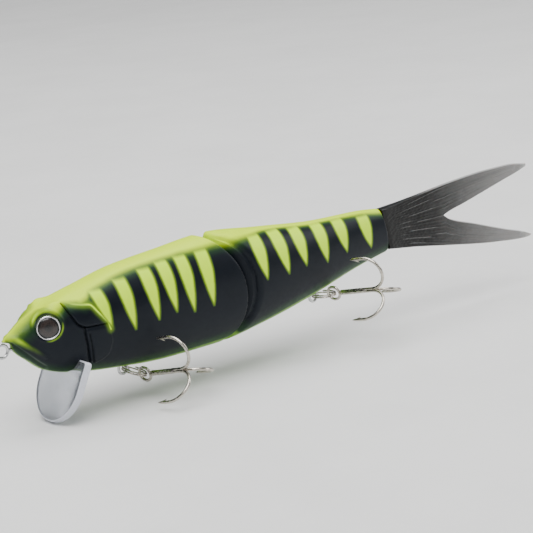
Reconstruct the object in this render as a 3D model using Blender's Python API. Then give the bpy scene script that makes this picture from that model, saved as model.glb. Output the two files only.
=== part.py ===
"""A two-section jointed swimbait with a diving lip, two treble hooks and a soft forked tail.

Frame: origin at the centre of the line-tie ring, +X towards the tail, +Z towards the back,
so the left flank faces -Y. Sizes below are millimetres and become metres as meshes are made.
"""

import math

import bmesh
import bpy
from mathutils import Matrix, Vector

MM = 0.001
GAP = 0.35                  # clearance between neighbouring pieces
SEAM = 0.15                 # each half shell stops this far from the middle plane
WALL = 2.0                  # moulded shell wall

# Body profiles: (x, value) knots, joined by smooth curves
TOP = ((0.6, 3.3), (10, 9.4), (18, 12.6), (30, 15.6), (45, 19.0), (62, 20.8), (82, 22.5),
       (104, 20.1), (130, 17.5), (146, 17.2), (157.6, 16.2))
BOTTOM = ((0.6, 2.8), (2.9, 1.9), (4.0, -0.9), (8, -4.8), (13, -8.9), (20, -11.5), (36, -14.2),
          (60, -16.1), (80, -15.8), (100, -13.1), (120, -9.1), (142, -3.4), (157.6, 0.1))
HALF_WIDTH = ((0.6, 0.6), (4, 3.0), (8, 5.0), (13, 7.2), (19, 9.3), (27, 11.1), (38, 12.2),
              (55, 12.7), (84, 12.5), (100, 11.5), (120, 9.0), (140, 6.0), (157.6, 3.4))
WIDEST = ((0.6, 3.0), (15, 2.8), (60, 2.6), (100, 4.0), (157.6, 8.2))
SQUARENESS = ((0.6, 2.0), (12, 2.3), (20, 2.6), (32, 2.4), (60, 2.25), (157.6, 2.1))
BODY_END = 157.6
END_LEAN = 0.155            # the end face leans so that its belly edge is the rearmost
BROW = (16.4, 6.2, 2.3)     # x, y and height of the ridge over each eye
BROW_SPREAD = (3.2, 2.8)

# Section joint: a vertical pin, a concave notch in front and a rounded wedge behind
HINGE_X = 88.0
NOTCH_RADIUS = 8.9
NOTCH_TANGENT_DEG = 125.8
NOTCH_LIP = (88.6, 11.4)
WEDGE_RADIUS = 6.4
WEDGE_TANGENT_DEG = 126.4
SWING_DEG = 14.0
RIM_CENTRE = (62.1, 1.2)
RIM_RADIUS = 26.5
PIN_RADIUS = 0.9
PIN_SPAN = (-9.0, 15.0)
HINGE_EYE_HEIGHTS = {"lower": -5.0, "upper": 11.0}
HINGE_EYE_RADIUS = 2.05
HINGE_WIRE = 0.7
HINGE_SHANK_END = 75.0

# Line tie
TIE_RADIUS = 2.15
TIE_WIRE = 0.5
TIE_STEM_END = 12.0

# Eyes
EYE_CENTRE = (13.9, 7.0, 5.7)
EYE_FORWARD_DEG = 23.0
EYE_UP_DEG = 5.0
EYE_RING_OUTER = 3.9
EYE_RING_INNER = 3.05
EYE_DEPTH = 2.0
LENS_RADIUS = 2.7

# Diving lip, in its own plane: u across, v down the plate from the shoulder line
LIP_SHOULDER = (22.9, -6.8)
LIP_LEAN_DEG = 26.3
LIP_HALF_WIDTH = 13.0
LIP_LENGTH = 22.0
LIP_STRAIGHT = 10.0
LIP_THICKNESS = 2.6
TONGUE_HALF_WIDTH = 6.0
TONGUE_LENGTH = 5.0

# Hook hangers: (x, height of the loop's lower arc centre, height of the inner feet)
HANGERS = {"front": (43.5, -16.4, -10.6), "rear": (124.0, -9.5, -3.2)}
HANGER_ARC = 1.6
HANGER_WIRE = 0.5

# Split rings: two turns of flattened wire
RING_RADIUS = 4.1
RING_RADIAL = 0.38
RING_AXIAL = 0.27
RING_TURN_PITCH = 0.66
RING_DIRECTION = {"front": (6.9, -3.0, -3.3), "rear": (8.1, -3.0, -0.3)}
RING_TANGENT = (0.45, 0.85, -0.05)
RING_SEAT = 0.35            # the ring's wire rests this far above the centre of the hanger's arc
RING_TO_EYE = -0.3          # the hook eye's centre hangs this far past the ring's end

# Treble hooks
HOOK_EYE_RADIUS = 2.4
HOOK_EYE_WIRE = 0.5
SHANK_LENGTH = 16.6         # eye centre to bend centre
SHANK_RADIUS = 0.95
BEND_DEPTH = 6.2
GAPE = 12.3
POINT_SETBACK = 5.0
HOOK_WIRE = 0.58
# (yaw towards the left flank, rise, roll) in degrees
HOOK_POSE = {"front": (74.8, 10.5, 12.4), "rear": (71.1, 8.0, 13.7)}

# Tail, in the middle plane (x, z)
TAIL_ROOT = 158.2
TAIL_HINGE_X = 168.5
TAIL_NOSE = 1.5
TAIL_FORK = (186.7, 7.8)
TAIL_MIDDLE_Z = 8.2
TAIL_ROWS = 5
TAIL_UPPER = ((158.2, 15.9), (174, 17.7), (191, 19.7), (208, 20.8), (219, 20.9), (229.2, 19.7))
TAIL_UPPER_INNER = ((186.7, 7.8), (189.5, 8.7), (196, 10.1), (203, 11.8), (210.2, 13.6), (217.5, 15.4),
                    (224.8, 17.2), (229.2, 18.6))
TAIL_LOWER_INNER = ((186.7, 7.8), (189.4, 5.9), (201.4, 1.8), (216.6, -3.4), (226.2, -6.4), (229.6, -7.9))
TAIL_LOWER = ((158.2, 0.6), (171, -1.1), (190.4, -4.4), (211, -7.5), (227, -8.8), (229.6, -8.5))
TAIL_THICKNESS = ((158.2, 5.0), (168.5, 3.0), (180, 2.0), (200, 1.4), (229.6, 0.9))
PEG_HALF_THICKNESS = 0.8
PEG_SPAN_Z = (5.0, 12.5)
PEG_SPAN_X = (149.5, 164.5)


# ---------------------------------------------------------------- curves

def curve(knots):
    """A function of x through the knots, smooth and without overshoot."""
    xs = [k[0] for k in knots]
    ys = [k[1] for k in knots]
    steps = [(ys[i + 1] - ys[i]) / (xs[i + 1] - xs[i]) for i in range(len(xs) - 1)]
    slopes = [steps[0]]
    for before, after in zip(steps, steps[1:]):
        slopes.append(0.0 if before * after <= 0 else 2 * before * after / (before + after))
    slopes.append(steps[-1])

    def value(x):
        x = min(max(x, xs[0]), xs[-1])
        i = max(k for k in range(len(xs) - 1) if xs[k] <= x)
        h = xs[i + 1] - xs[i]
        t = (x - xs[i]) / h
        return (ys[i] * (1 + 2 * t) * (1 - t) ** 2 + ys[i + 1] * t * t * (3 - 2 * t)
                + h * slopes[i] * t * (1 - t) ** 2 - h * slopes[i + 1] * t * t * (1 - t))

    return value


top_at = curve(TOP)
bottom_at = curve(BOTTOM)
half_width_at = curve(HALF_WIDTH)
widest_at = curve(WIDEST)
squareness_at = curve(SQUARENESS)
tail_thickness_at = curve(TAIL_THICKNESS)


def section(x, inset, count):
    """Points (y, z) of the right half of the body's section at x, from the back to the belly."""
    centre = widest_at(x)
    above = top_at(x) - inset - centre
    below = centre - bottom_at(x) - inset
    power = 2 / squareness_at(x)
    brow_x, brow_y, brow_height = BROW
    brow = brow_height * math.exp(-((x - brow_x) / BROW_SPREAD[0]) ** 2)
    points = []
    for j in range(count + 1):
        angle = math.pi * j / count
        c = math.cos(angle)
        rise = above if c > 0 else below
        y = SEAM + (half_width_at(x) - inset - SEAM) * abs(math.sin(angle)) ** power
        z = centre + math.copysign(rise * abs(c) ** power, c)
        z += brow * max(c, 0) * math.exp(-((y - brow_y) / BROW_SPREAD[1]) ** 2)
        points.append((y, z))
    return points


def lean_at(x, z, flat_x):
    """How far a point moves along X to follow the leaning end face; nothing moves beyond flat_x."""
    return END_LEAN * (8.2 - z) * max(0.0, (x - flat_x) / (BODY_END - flat_x))


# ---------------------------------------------------------------- mesh tools

def material(name, colour, roughness, metallic=0.0, alpha=1.0):
    made = bpy.data.materials.new(name)
    made.use_nodes = True
    shader = made.node_tree.nodes["Principled BSDF"]
    shader.inputs["Base Color"].default_value = (*colour, 1.0)
    shader.inputs["Roughness"].default_value = roughness
    shader.inputs["Metallic"].default_value = metallic
    shader.inputs["Alpha"].default_value = alpha
    return made


def add_object(name, mesh_data, pivot=(0, 0, 0), finish=None, smooth=True):
    """An object from a bmesh in millimetres, with its origin at the pivot."""
    bmesh.ops.recalc_face_normals(mesh_data, faces=mesh_data.faces)
    bmesh.ops.transform(mesh_data, matrix=Matrix.Scale(MM, 4) @ Matrix.Translation(-Vector(pivot)),
                        verts=mesh_data.verts)
    mesh = bpy.data.meshes.new(name)
    mesh_data.to_mesh(mesh)
    mesh_data.free()
    if smooth:
        mesh.shade_smooth()
        mesh.set_sharp_from_angle(angle=math.radians(40))
    made = bpy.data.objects.new(name, mesh)
    made.location = Vector(pivot) * MM
    bpy.context.scene.collection.objects.link(made)
    if finish:
        mesh.materials.append(finish)
    return made


def from_rings(rings, caps=True, closed=False):
    """A skin over rings of points that all have the same count."""
    bm = bmesh.new()
    rows = [[bm.verts.new(p) for p in ring] for ring in rings]
    pairs = list(zip(rows, rows[1:]))
    if closed:
        pairs.append((rows[-1], rows[0]))
    for low, high in pairs:
        for k in range(len(low)):
            n = (k + 1) % len(low)
            bm.faces.new((low[k], low[n], high[n], high[k]))
    if caps and not closed:
        bm.faces.new(rows[0])
        bm.faces.new(rows[-1])
    return bm


def prism(outline, axis, low, high):
    """The outline, given in the two axes other than the named one, extruded along that axis."""
    place = {"y": lambda p, t: (p[0], t, p[1]), "z": lambda p, t: (p[0], p[1], t)}[axis]
    return from_rings([[place(p, t) for p in outline] for t in (low, high)])


def arc(centre, radius, start_deg, end_deg, steps):
    angles = [math.radians(start_deg + (end_deg - start_deg) * k / steps) for k in range(steps + 1)]
    return [(centre[0] + radius * math.cos(a), centre[1] + radius * math.sin(a)) for a in angles]


def rectangle(x_low, x_high, y_low, y_high):
    return [(x_low, y_low), (x_high, y_low), (x_high, y_high), (x_low, y_high)]


def tube(path, radii, sides, closed=False, flat=1.0, flat_axis=None):
    """A tube along a path. With a flat axis, its section is narrowed by flat along that axis."""
    points = [Vector(p) for p in path]
    count = len(points)
    rings = []
    across = None
    for i, here in enumerate(points):
        before = points[(i - 1) % count] if closed or i else here
        after = points[(i + 1) % count] if closed or i + 1 < count else here
        along = (after - before).normalized()
        if flat_axis:
            across = Vector(flat_axis).cross(along).normalized()
        elif across is None:
            helper = Vector((0, 0, 1)) if abs(along.z) < 0.9 else Vector((1, 0, 0))
            across = helper.cross(along).normalized()
        else:
            across = (across - along * across.dot(along)).normalized()
        other = along.cross(across)
        radius = radii[i] if isinstance(radii, (list, tuple)) else radii
        ring = []
        for k in range(sides):
            a = 2 * math.pi * (k + 0.5) / sides
            ring.append(here + across * radius * math.cos(a) + other * radius * flat * math.sin(a))
        rings.append(ring)
    return from_rings(rings, closed=closed)


def turned(profile, centre, axis, sides):
    """A closed solid turned from (radius, height) points about an axis through the centre."""
    along = Vector(axis).normalized()
    across = along.cross(Vector((0, 0, 1))).normalized()
    other = along.cross(across)
    rings = []
    for k in range(sides):
        a = 2 * math.pi * k / sides
        out = across * math.cos(a) + other * math.sin(a)
        rings.append([Vector(centre) + along * h + out * r for r, h in profile])
    return from_rings(rings, closed=True)


def disc(profile, centre, axis, sides):
    """A solid of revolution from (radius, height) points; both of its ends are closed by a face."""
    along = Vector(axis).normalized()
    across = along.cross(Vector((0, 0, 1))).normalized()
    other = along.cross(across)
    rings = []
    for r, h in profile:
        ring = []
        for k in range(sides):
            a = 2 * math.pi * k / sides
            ring.append(Vector(centre) + along * h + (across * math.cos(a) + other * math.sin(a)) * r)
        rings.append(ring)
    return from_rings(rings)


def rod(start, end, radius, sides=12):
    return tube([start, end], radius, sides)


def boolean(target, other, operation="DIFFERENCE"):
    """Cuts, joins or trims a target with another object, which becomes a hidden guide."""
    step = target.modifiers.new(other.name, "BOOLEAN")
    step.object = other
    step.operation = operation
    step.solver = "EXACT"
    other.hide_render = True
    other.display_type = "WIRE"


def guide(name, mesh_data):
    return add_object("guide_" + name, mesh_data, smooth=False)


# ---------------------------------------------------------------- body shells

def half_loft(stations, inset, count, side, end_scales=()):
    """A closed half body between the stations; end scales narrow the last stations.

    With an inset it is the hollow of a shell, open across the middle plane.
    """
    rings = []
    first_scaled = len(stations) - len(end_scales)
    for i, x in enumerate(stations):
        scale = end_scales[i - first_scaled] if i >= first_scaled else 1.0
        middle = (top_at(x) + bottom_at(x)) / 2
        points = section(x, inset, count)
        if inset:
            points = [(-1, points[0][1])] + points[1:-1] + [(-1, points[-1][1])]
        ring = []
        for y, z in points:
            across = side * (SEAM + (y - SEAM) * scale)
            ring.append((x + lean_at(x, z, 148), across, middle + (z - middle) * scale))
        rings.append(ring)
    return from_rings(rings)


def notch_outline():
    """Plan of the space behind the front section: a round seat that flares to the side lips."""
    seat = arc((HINGE_X, 0), NOTCH_RADIUS, NOTCH_TANGENT_DEG, 360 - NOTCH_TANGENT_DEG, 14)
    lip_x, lip_y = NOTCH_LIP
    last_x, last_y = seat[0]
    slope = (lip_y - last_y) / (lip_x - last_x)
    far_x = HINGE_X + 2 * NOTCH_RADIUS
    far_y = lip_y + slope * (far_x - lip_x)
    return seat + [(far_x, -far_y), (far_x, far_y)]


def wedge_outline():
    """Plan of the rear section: a round nose about the pin, with tangent shoulders."""
    reach = 14.0
    nose = arc((HINGE_X, 0), WEDGE_RADIUS, WEDGE_TANGENT_DEG, 360 - WEDGE_TANGENT_DEG, 14)
    angle = math.radians(WEDGE_TANGENT_DEG - 90)
    out_x = nose[0][0] + reach * math.cos(angle)
    out_y = nose[0][1] + reach * math.sin(angle)
    far_x = BODY_END + 10
    return nose + [(out_x, -out_y), (far_x, -out_y), (far_x, out_y), (out_x, out_y)]


def rim_outline():
    """Side view of the front section: everything ahead of a round rear rim."""
    x, z = RIM_CENTRE
    reach = 40.0
    rim = arc(RIM_CENTRE, RIM_RADIUS, -90, 90, 36)
    return [(-10, -reach), (x, -reach)] + rim + [(x, reach), (-10, reach)]


def eye_slot_outline():
    """Plan of the wedge's slot around one hinge eye, wide enough for the whole swing."""
    radius = HINGE_EYE_RADIUS + HINGE_WIRE + 1.5 * GAP
    start = 90 + SWING_DEG + 4
    back = arc((HINGE_X, 0), radius, -start, start, 16)
    front_x = HINGE_X - WEDGE_RADIUS - 3
    rise = (back[-1][0] - front_x) * math.tan(math.radians(SWING_DEG + 4))
    return back + [(front_x, back[-1][1] + rise), (front_x, -back[-1][1] - rise)]


def lip_frame():
    """Plate axes: across, down the plate, and the outward normal of its rear face."""
    lean = math.radians(LIP_LEAN_DEG)
    down = Vector((-math.sin(lean), 0, -math.cos(lean)))
    back = Vector((math.cos(lean), 0, -math.sin(lean)))
    return Vector((0, 1, 0)), down, back


def plate(outline, front, rear):
    """A slab in the lip's plane, from the front offset to the rear offset."""
    across, down, back = lip_frame()
    origin = Vector((LIP_SHOULDER[0], 0, LIP_SHOULDER[1]))
    return from_rings([[origin + across * u + down * v + back * t for u, v in outline]
                       for t in (front, rear)])


def eye_axis(side):
    forward = math.radians(EYE_FORWARD_DEG)
    up = math.radians(EYE_UP_DEG)
    return Vector((-math.sin(forward), side * math.cos(forward), math.sin(up))).normalized()


def hanger_slot(which):
    x, low, feet = HANGERS[which]
    reach = HANGER_ARC + HANGER_WIRE + GAP
    half = HANGER_WIRE + GAP
    return prism(rectangle(x - reach, x + reach, -half, half), "z", low - 4, feet - HANGER_WIRE - 1.2)


def make_shells(finish):
    front_stations = (0.6, 1.6, 2.9, 4.0, 6, 8, 10, 12, 14, 16, 18, 20, 22.5, 26, 31, 38, 46, 55, 64, 72,
                      78, 82, 86, 90)
    rear_stations = (79, 84, 88, 92, 96, 101, 108, 116, 124, 132, 140, 148, 154, 156.6, BODY_END)
    front_inside = (25.5, 31, 38, 46, 55, 64, 73.5)
    rear_inside = (101, 108, 116, 124, 132, 140, 147)
    end_scales = (0.985, 0.9)
    notch = guide("notch", prism(notch_outline(), "z", -40, 40))
    rim = guide("rim", prism(rim_outline(), "y", -30, 30))
    wedge = guide("wedge", prism(wedge_outline(), "z", -40, 40))
    tongue = TONGUE_HALF_WIDTH + GAP
    lip_room = [(-tongue, -TONGUE_LENGTH - GAP), (tongue, -TONGUE_LENGTH - GAP), (tongue, -GAP), (20, -GAP),
                (20, 20), (-20, 20), (-20, -GAP), (-tongue, -GAP)]
    front_cuts = [
        guide("tie_hole", rod((-2, 0, 0), (TIE_STEM_END + GAP, 0, 0), TIE_WIRE + GAP)),
        guide("lip_slot", plate(lip_room, -GAP, LIP_THICKNESS + GAP)),
        guide("front_hanger_slot", hanger_slot("front")),
    ]
    rear_cuts = [
        guide("pin_hole", rod((HINGE_X, 0, PIN_SPAN[0] - GAP), (HINGE_X, 0, PIN_SPAN[1] + GAP),
                              PIN_RADIUS + GAP)),
        guide("peg_socket", prism(rectangle(PEG_SPAN_X[0] - GAP, BODY_END + 2, PEG_SPAN_Z[0] - GAP,
                                            PEG_SPAN_Z[1] + GAP), "y",
                                  -PEG_HALF_THICKNESS - GAP, PEG_HALF_THICKNESS + GAP)),
        guide("rear_hanger_slot", hanger_slot("rear")),
    ]
    for place, height in HINGE_EYE_HEIGHTS.items():
        half = HINGE_WIRE + GAP
        front_cuts.append(guide("eye_hole_" + place, rod((HINGE_SHANK_END - GAP, 0, height),
                                                        (HINGE_X, 0, height), half)))
        rear_cuts.append(guide("eye_slot_" + place, prism(eye_slot_outline(), "z",
                                                         height - half, height + half)))
    for hand, side in (("left", -1), ("right", 1)):
        front = add_object("front_shell_" + hand, half_loft(front_stations, 0, 18, side), finish=finish)
        boolean(front, rim, "INTERSECT")
        boolean(front, notch)
        hollow = guide("front_hollow_" + hand, half_loft(front_inside, WALL, 12, side))
        boolean(front, hollow)
        axis = eye_axis(side)
        centre = Vector((EYE_CENTRE[0], side * EYE_CENTRE[1], EYE_CENTRE[2]))
        pocket = guide("eye_pocket_" + hand, rod(centre - axis * (EYE_DEPTH + GAP), centre + axis * 5,
                                                 EYE_RING_OUTER + GAP, 28))
        for cut in front_cuts + [pocket]:
            boolean(front, cut)
        rear = add_object("rear_shell_" + hand, half_loft(rear_stations, 0, 16, side, end_scales),
                          pivot=(HINGE_X, 0, 0), finish=finish)
        boolean(rear, wedge, "INTERSECT")
        hollow = guide("rear_hollow_" + hand, half_loft(rear_inside, WALL, 12, side))
        for cut in [hollow] + rear_cuts:
            boolean(rear, cut)


# ---------------------------------------------------------------- fittings

def make_joint(finish):
    pivot = (HINGE_X, 0, 0)
    add_object("hinge_pin", rod((HINGE_X, 0, PIN_SPAN[0]), (HINGE_X, 0, PIN_SPAN[1]), PIN_RADIUS, 16),
               pivot=pivot, finish=finish)
    for place, height in HINGE_EYE_HEIGHTS.items():
        loop = [(x, y, height) for x, y in arc((HINGE_X, 0), HINGE_EYE_RADIUS, 0, 360, 20)[:-1]]
        eye = add_object("hinge_eye_" + place, tube(loop, HINGE_WIRE, 8, closed=True), finish=finish)
        shank = guide("hinge_shank_" + place, rod((HINGE_SHANK_END, 0, height),
                                                  (HINGE_X - HINGE_EYE_RADIUS, 0, height), HINGE_WIRE, 10))
        boolean(eye, shank, "UNION")


def make_line_tie(finish):
    loop = [(x, 0, z) for x, z in arc((0, 0), TIE_RADIUS, 0, 360, 24)[:-1]]
    tie = add_object("line_tie", tube(loop, TIE_WIRE, 10, closed=True), finish=finish)
    stem = guide("tie_stem", rod((TIE_RADIUS, 0, 0), (TIE_STEM_END, 0, 0), TIE_WIRE, 12))
    boolean(tie, stem, "UNION")


def make_eyes(ring_finish, lens_finish):
    for hand, side in (("left", -1), ("right", 1)):
        centre = (EYE_CENTRE[0], side * EYE_CENTRE[1], EYE_CENTRE[2])
        ring = ((EYE_RING_INNER, -EYE_DEPTH), (EYE_RING_OUTER, -EYE_DEPTH), (EYE_RING_OUTER, 0.3),
                (EYE_RING_OUTER - 0.3, 0.6), (EYE_RING_INNER + 0.25, 0.6), (EYE_RING_INNER, 0.3))
        add_object("eye_ring_" + hand, turned(ring, centre, eye_axis(side), 28), finish=ring_finish)
        lens = [(LENS_RADIUS, -EYE_DEPTH), (LENS_RADIUS, 0.2)]
        lens += [(LENS_RADIUS * math.cos(math.radians(a)), 0.2 + 0.8 * math.sin(math.radians(a)))
                 for a in (30, 55, 75)]
        add_object("eye_lens_" + hand, disc(lens, centre, eye_axis(side), 24), finish=lens_finish)


def make_lip(finish):
    curve_depth = LIP_LENGTH - LIP_STRAIGHT
    outline = [(-TONGUE_HALF_WIDTH, -TONGUE_LENGTH), (TONGUE_HALF_WIDTH, -TONGUE_LENGTH),
               (TONGUE_HALF_WIDTH, 0), (LIP_HALF_WIDTH, 0)]
    for k in range(25):
        a = math.pi * k / 24
        outline.append((LIP_HALF_WIDTH * math.cos(a), LIP_STRAIGHT + curve_depth * math.sin(a)))
    outline += [(-LIP_HALF_WIDTH, 0), (-TONGUE_HALF_WIDTH, 0)]
    add_object("diving_lip", plate(outline, 0, LIP_THICKNESS), finish=finish)


def make_hanger(which, finish):
    x, low, feet = HANGERS[which]
    turn = 1.2
    foot = 2.2
    left = [(x - HANGER_ARC - turn - foot, feet)]
    left += arc((x - HANGER_ARC - turn, feet - turn), turn, 90, 0, 4)
    loop = arc((x, low), HANGER_ARC, 180, 360, 12)
    right = [(2 * x - px, pz) for px, pz in reversed(left)]
    path = [(px, 0, pz) for px, pz in left + loop + right]
    add_object(which + "_hook_hanger", tube(path, HANGER_WIRE, 8), finish=finish)


def ring_frame(which):
    """Start of the ring at its hanger, and its direction, tangent and normal there."""
    x, low, _ = HANGERS[which]
    direction = Vector(RING_DIRECTION[which]).normalized()
    tangent = Vector(RING_TANGENT)
    tangent = (tangent - direction * tangent.dot(direction)).normalized()
    return Vector((x, 0, low + RING_SEAT)), direction, tangent, direction.cross(tangent)


def hanger_pivot(which):
    x, low, _ = HANGERS[which]
    return (x, 0, low + RING_SEAT)


def make_split_ring(which, finish):
    start, direction, tangent, normal = ring_frame(which)
    centre = start + direction * RING_RADIUS
    turns = 1.94
    steps = 48
    path = []
    for k in range(steps + 1):
        share = k / steps
        a = math.pi / 2 + 2 * math.pi * turns * (share - 0.5)
        lift = RING_TURN_PITCH * turns * (share - 0.5)
        path.append(centre + direction * RING_RADIUS * math.cos(a)
                    + tangent * RING_RADIUS * math.sin(a) + normal * lift)
    add_object(which + "_split_ring", tube(path, RING_RADIAL, 8, flat=RING_AXIAL / RING_RADIAL,
                                           flat_axis=normal), pivot=hanger_pivot(which), finish=finish)


def hook_frame(which):
    """Eye centre, shank direction, and the directions of the three bends."""
    start, direction, _, _ = ring_frame(which)
    eye = start + direction * (2 * RING_RADIUS + RING_TO_EYE)
    yaw, rise, roll = (math.radians(a) for a in HOOK_POSE[which])
    shank = Vector((math.cos(yaw) * math.cos(rise), -math.sin(yaw) * math.cos(rise), math.sin(rise)))
    side = shank.cross(Vector((0, 0, 1))).normalized()
    up = side.cross(shank)
    bends = []
    for k in range(3):
        a = roll + 2 * math.pi * k / 3
        bends.append(up * math.cos(a) + side * math.sin(a))
    return eye, shank, bends


def bend_path(eye, shank, out):
    """Centreline of one bend: along the shank, round the bend and back to the point."""
    inner = 0.35
    straight = [eye + shank * s + out * inner for s in (SHANK_LENGTH - 7, SHANK_LENGTH - 2.6)]
    turn = []
    for k in range(15):
        a = math.pi * k / 14
        turn.append(eye + shank * (SHANK_LENGTH + BEND_DEPTH * math.sin(a))
                    + out * (inner + (GAPE - inner) * (1 - math.cos(a)) / 2))
    point = [eye + shank * (SHANK_LENGTH - s) + out * GAPE
             for s in (POINT_SETBACK * 0.45, POINT_SETBACK * 0.8, POINT_SETBACK)]
    return straight + turn + point


def make_treble(which, finish):
    eye, shank, bends = hook_frame(which)
    pivot = tuple(eye)
    plane = bends[0]
    loop = [eye + shank * HOOK_EYE_RADIUS * math.cos(2 * math.pi * k / 20)
            + plane * HOOK_EYE_RADIUS * math.sin(2 * math.pi * k / 20) for k in range(20)]
    hook = add_object(which + "_treble_hook", tube(loop, HOOK_EYE_WIRE, 8, closed=True),
                      pivot=pivot, finish=finish)
    core = [eye + shank * s for s in (HOOK_EYE_RADIUS - 0.1, HOOK_EYE_RADIUS + 1.0, SHANK_LENGTH - 3.4,
                                      SHANK_LENGTH - 2.0)]
    boolean(hook, guide(which + "_shank", tube(core, [0.5, SHANK_RADIUS, SHANK_RADIUS, 0.5], 10)), "UNION")
    for k, out in enumerate(bends):
        path = bend_path(eye, shank, out)
        radii = [HOOK_WIRE] * (len(path) - 2) + [HOOK_WIRE * 0.75, 0.08]
        boolean(hook, guide(f"{which}_bend_{k}", tube(path, radii, 8)), "UNION")
        root = eye + shank * (SHANK_LENGTH - POINT_SETBACK * 0.55) + out * GAPE
        tip = root + shank * 1.5 - out * 1.25
        boolean(hook, guide(f"{which}_barb_{k}", tube([root, tip], [0.42, 0.1], 6)), "UNION")


# ---------------------------------------------------------------- tail and ballast

def tail_mesh(shared, free=0, nose=1.0):
    """The tail over the shared stations, then its two free lobes in so many columns each.

    The first station's thickness is scaled by nose.
    """
    upper = curve(TAIL_UPPER)
    lower = curve(TAIL_LOWER)
    fork_x, fork_z = TAIL_FORK
    bm = bmesh.new()

    def middle(x):
        return TAIL_MIDDLE_Z + (fork_z - TAIL_MIDDLE_Z) * (x - TAIL_ROOT) / (fork_x - TAIL_ROOT)

    def add_lobe(outer, inner, tip_x):
        stations = list(shared) + [fork_x + (tip_x - fork_x) * i / free for i in range(1, free + 1)]
        sheets = []
        for side in (-1, 1):
            grid = []
            for i, x in enumerate(stations):
                half = side * tail_thickness_at(x) / 2 * (nose if i == 0 else 1.0)
                inside = middle(x) if x <= fork_x else inner(x)
                column = [inside + (outer(x) - inside) * j / TAIL_ROWS for j in range(TAIL_ROWS + 1)]
                lean = max(0.0, (TAIL_HINGE_X - TAIL_NOSE - 0.5 - x) / 8.3)
                grid.append([bm.verts.new((x + END_LEAN * (8.2 - z) * lean, half, z)) for z in column])
            sheets.append(grid)
        near, far = sheets
        last = len(stations) - 1
        for i in range(last):
            for j in range(TAIL_ROWS):
                for grid in sheets:
                    bm.faces.new((grid[i][j], grid[i + 1][j], grid[i + 1][j + 1], grid[i][j + 1]))
            rims = (TAIL_ROWS,) if stations[i + 1] <= fork_x else (0, TAIL_ROWS)
            for j in rims:
                bm.faces.new((near[i][j], near[i + 1][j], far[i + 1][j], far[i][j]))
        for i in (0, last):
            for j in range(TAIL_ROWS):
                bm.faces.new((near[i][j], near[i][j + 1], far[i][j + 1], far[i][j]))

    add_lobe(upper, curve(TAIL_UPPER_INNER), TAIL_UPPER[-1][0])
    add_lobe(lower, curve(TAIL_LOWER_INNER), TAIL_LOWER[-1][0])
    bmesh.ops.remove_doubles(bm, verts=bm.verts, dist=1e-4)
    return bm


def make_tail(peg_finish, tail_finish):
    pivot = (HINGE_X, 0, 0)
    peg_outline = rectangle(*PEG_SPAN_X, *PEG_SPAN_Z)
    add_object("tail_peg", prism(peg_outline, "y", -PEG_HALF_THICKNESS, PEG_HALF_THICKNESS),
               pivot=pivot, finish=peg_finish)
    root = add_object("tail_root", tail_mesh((TAIL_ROOT, 161, 164, TAIL_HINGE_X - TAIL_NOSE - 0.5)),
                      pivot=pivot, finish=tail_finish)
    pocket = prism(rectangle(TAIL_ROOT - 3, PEG_SPAN_X[1] + GAP, PEG_SPAN_Z[0] - GAP,
                             PEG_SPAN_Z[1] + GAP), "y", -PEG_HALF_THICKNESS - GAP, PEG_HALF_THICKNESS + GAP)
    boolean(root, guide("peg_pocket", pocket))
    blade = tail_mesh((TAIL_HINGE_X - TAIL_NOSE, TAIL_HINGE_X, 172, 177, 182, TAIL_FORK[0]), 9, nose=0.45)
    add_object("tail_blade", blade, pivot=(TAIL_HINGE_X, 0, 8), finish=tail_finish)


def make_ballast(name, stations, height, pivot, finish):
    """A cast slug that follows the inside of the belly up to a flat top."""
    rings = []
    for x in stations:
        half = [(y, z) for y, z in section(x, WALL + 2 * GAP, 20) if z < height]
        half = [(half[0][0], height)] + half
        left = [(x, y - SEAM, z) for y, z in half]
        right = [(x, SEAM - y, z) for y, z in reversed(half[:-1])]
        rings.append(left + right)
    counts = min(len(r) for r in rings)
    rings = [r if len(r) == counts else resample(r, counts) for r in rings]
    add_object(name, from_rings(rings), pivot=pivot, finish=finish)


def resample(ring, count):
    """The same closed outline with another number of evenly spaced corners."""
    points = [Vector(p) for p in ring]
    loop = points + [points[0]]
    lengths = [0.0]
    for a, b in zip(loop, loop[1:]):
        lengths.append(lengths[-1] + (b - a).length)
    made = []
    for k in range(count):
        target = lengths[-1] * k / count
        i = max(j for j in range(len(points)) if lengths[j] <= target)
        share = (target - lengths[i]) / (lengths[i + 1] - lengths[i])
        made.append(loop[i].lerp(loop[i + 1], share))
    return made


def main():
    for old in list(bpy.data.objects):
        bpy.data.objects.remove(old, do_unlink=True)
    body = material("body_paint", (0.03, 0.035, 0.045), 0.35)
    nickel = material("black_nickel", (0.55, 0.53, 0.50), 0.25, metallic=1.0)
    steel = material("stainless_wire", (0.62, 0.62, 0.62), 0.3, metallic=1.0)
    silver = material("eye_ring_silver", (0.75, 0.75, 0.75), 0.3)
    eye = material("eye_resin", (0.05, 0.03, 0.03), 0.08)
    clear = material("clear_plate", (0.85, 0.87, 0.9), 0.08, alpha=0.35)
    soft = material("smoke_soft_plastic", (0.09, 0.09, 0.09), 0.4)
    white = material("peg_plastic", (0.8, 0.8, 0.78), 0.5)
    lead = material("lead", (0.25, 0.25, 0.27), 0.6, metallic=1.0)
    make_shells(body)
    make_joint(steel)
    make_line_tie(steel)
    make_eyes(silver, eye)
    make_lip(clear)
    for which in HANGERS:
        make_hanger(which, steel)
        make_split_ring(which, nickel)
        make_treble(which, nickel)
    make_tail(white, soft)
    make_ballast("front_ballast", (29, 32.5, 36), -7.0, (0, 0, 0), lead)
    make_ballast("rear_ballast", (103, 108, 113), -5.5, (HINGE_X, 0, 0), lead)


main()
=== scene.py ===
import math

import bmesh
import bpy
import numpy as np
from mathutils import Matrix, Vector


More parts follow.
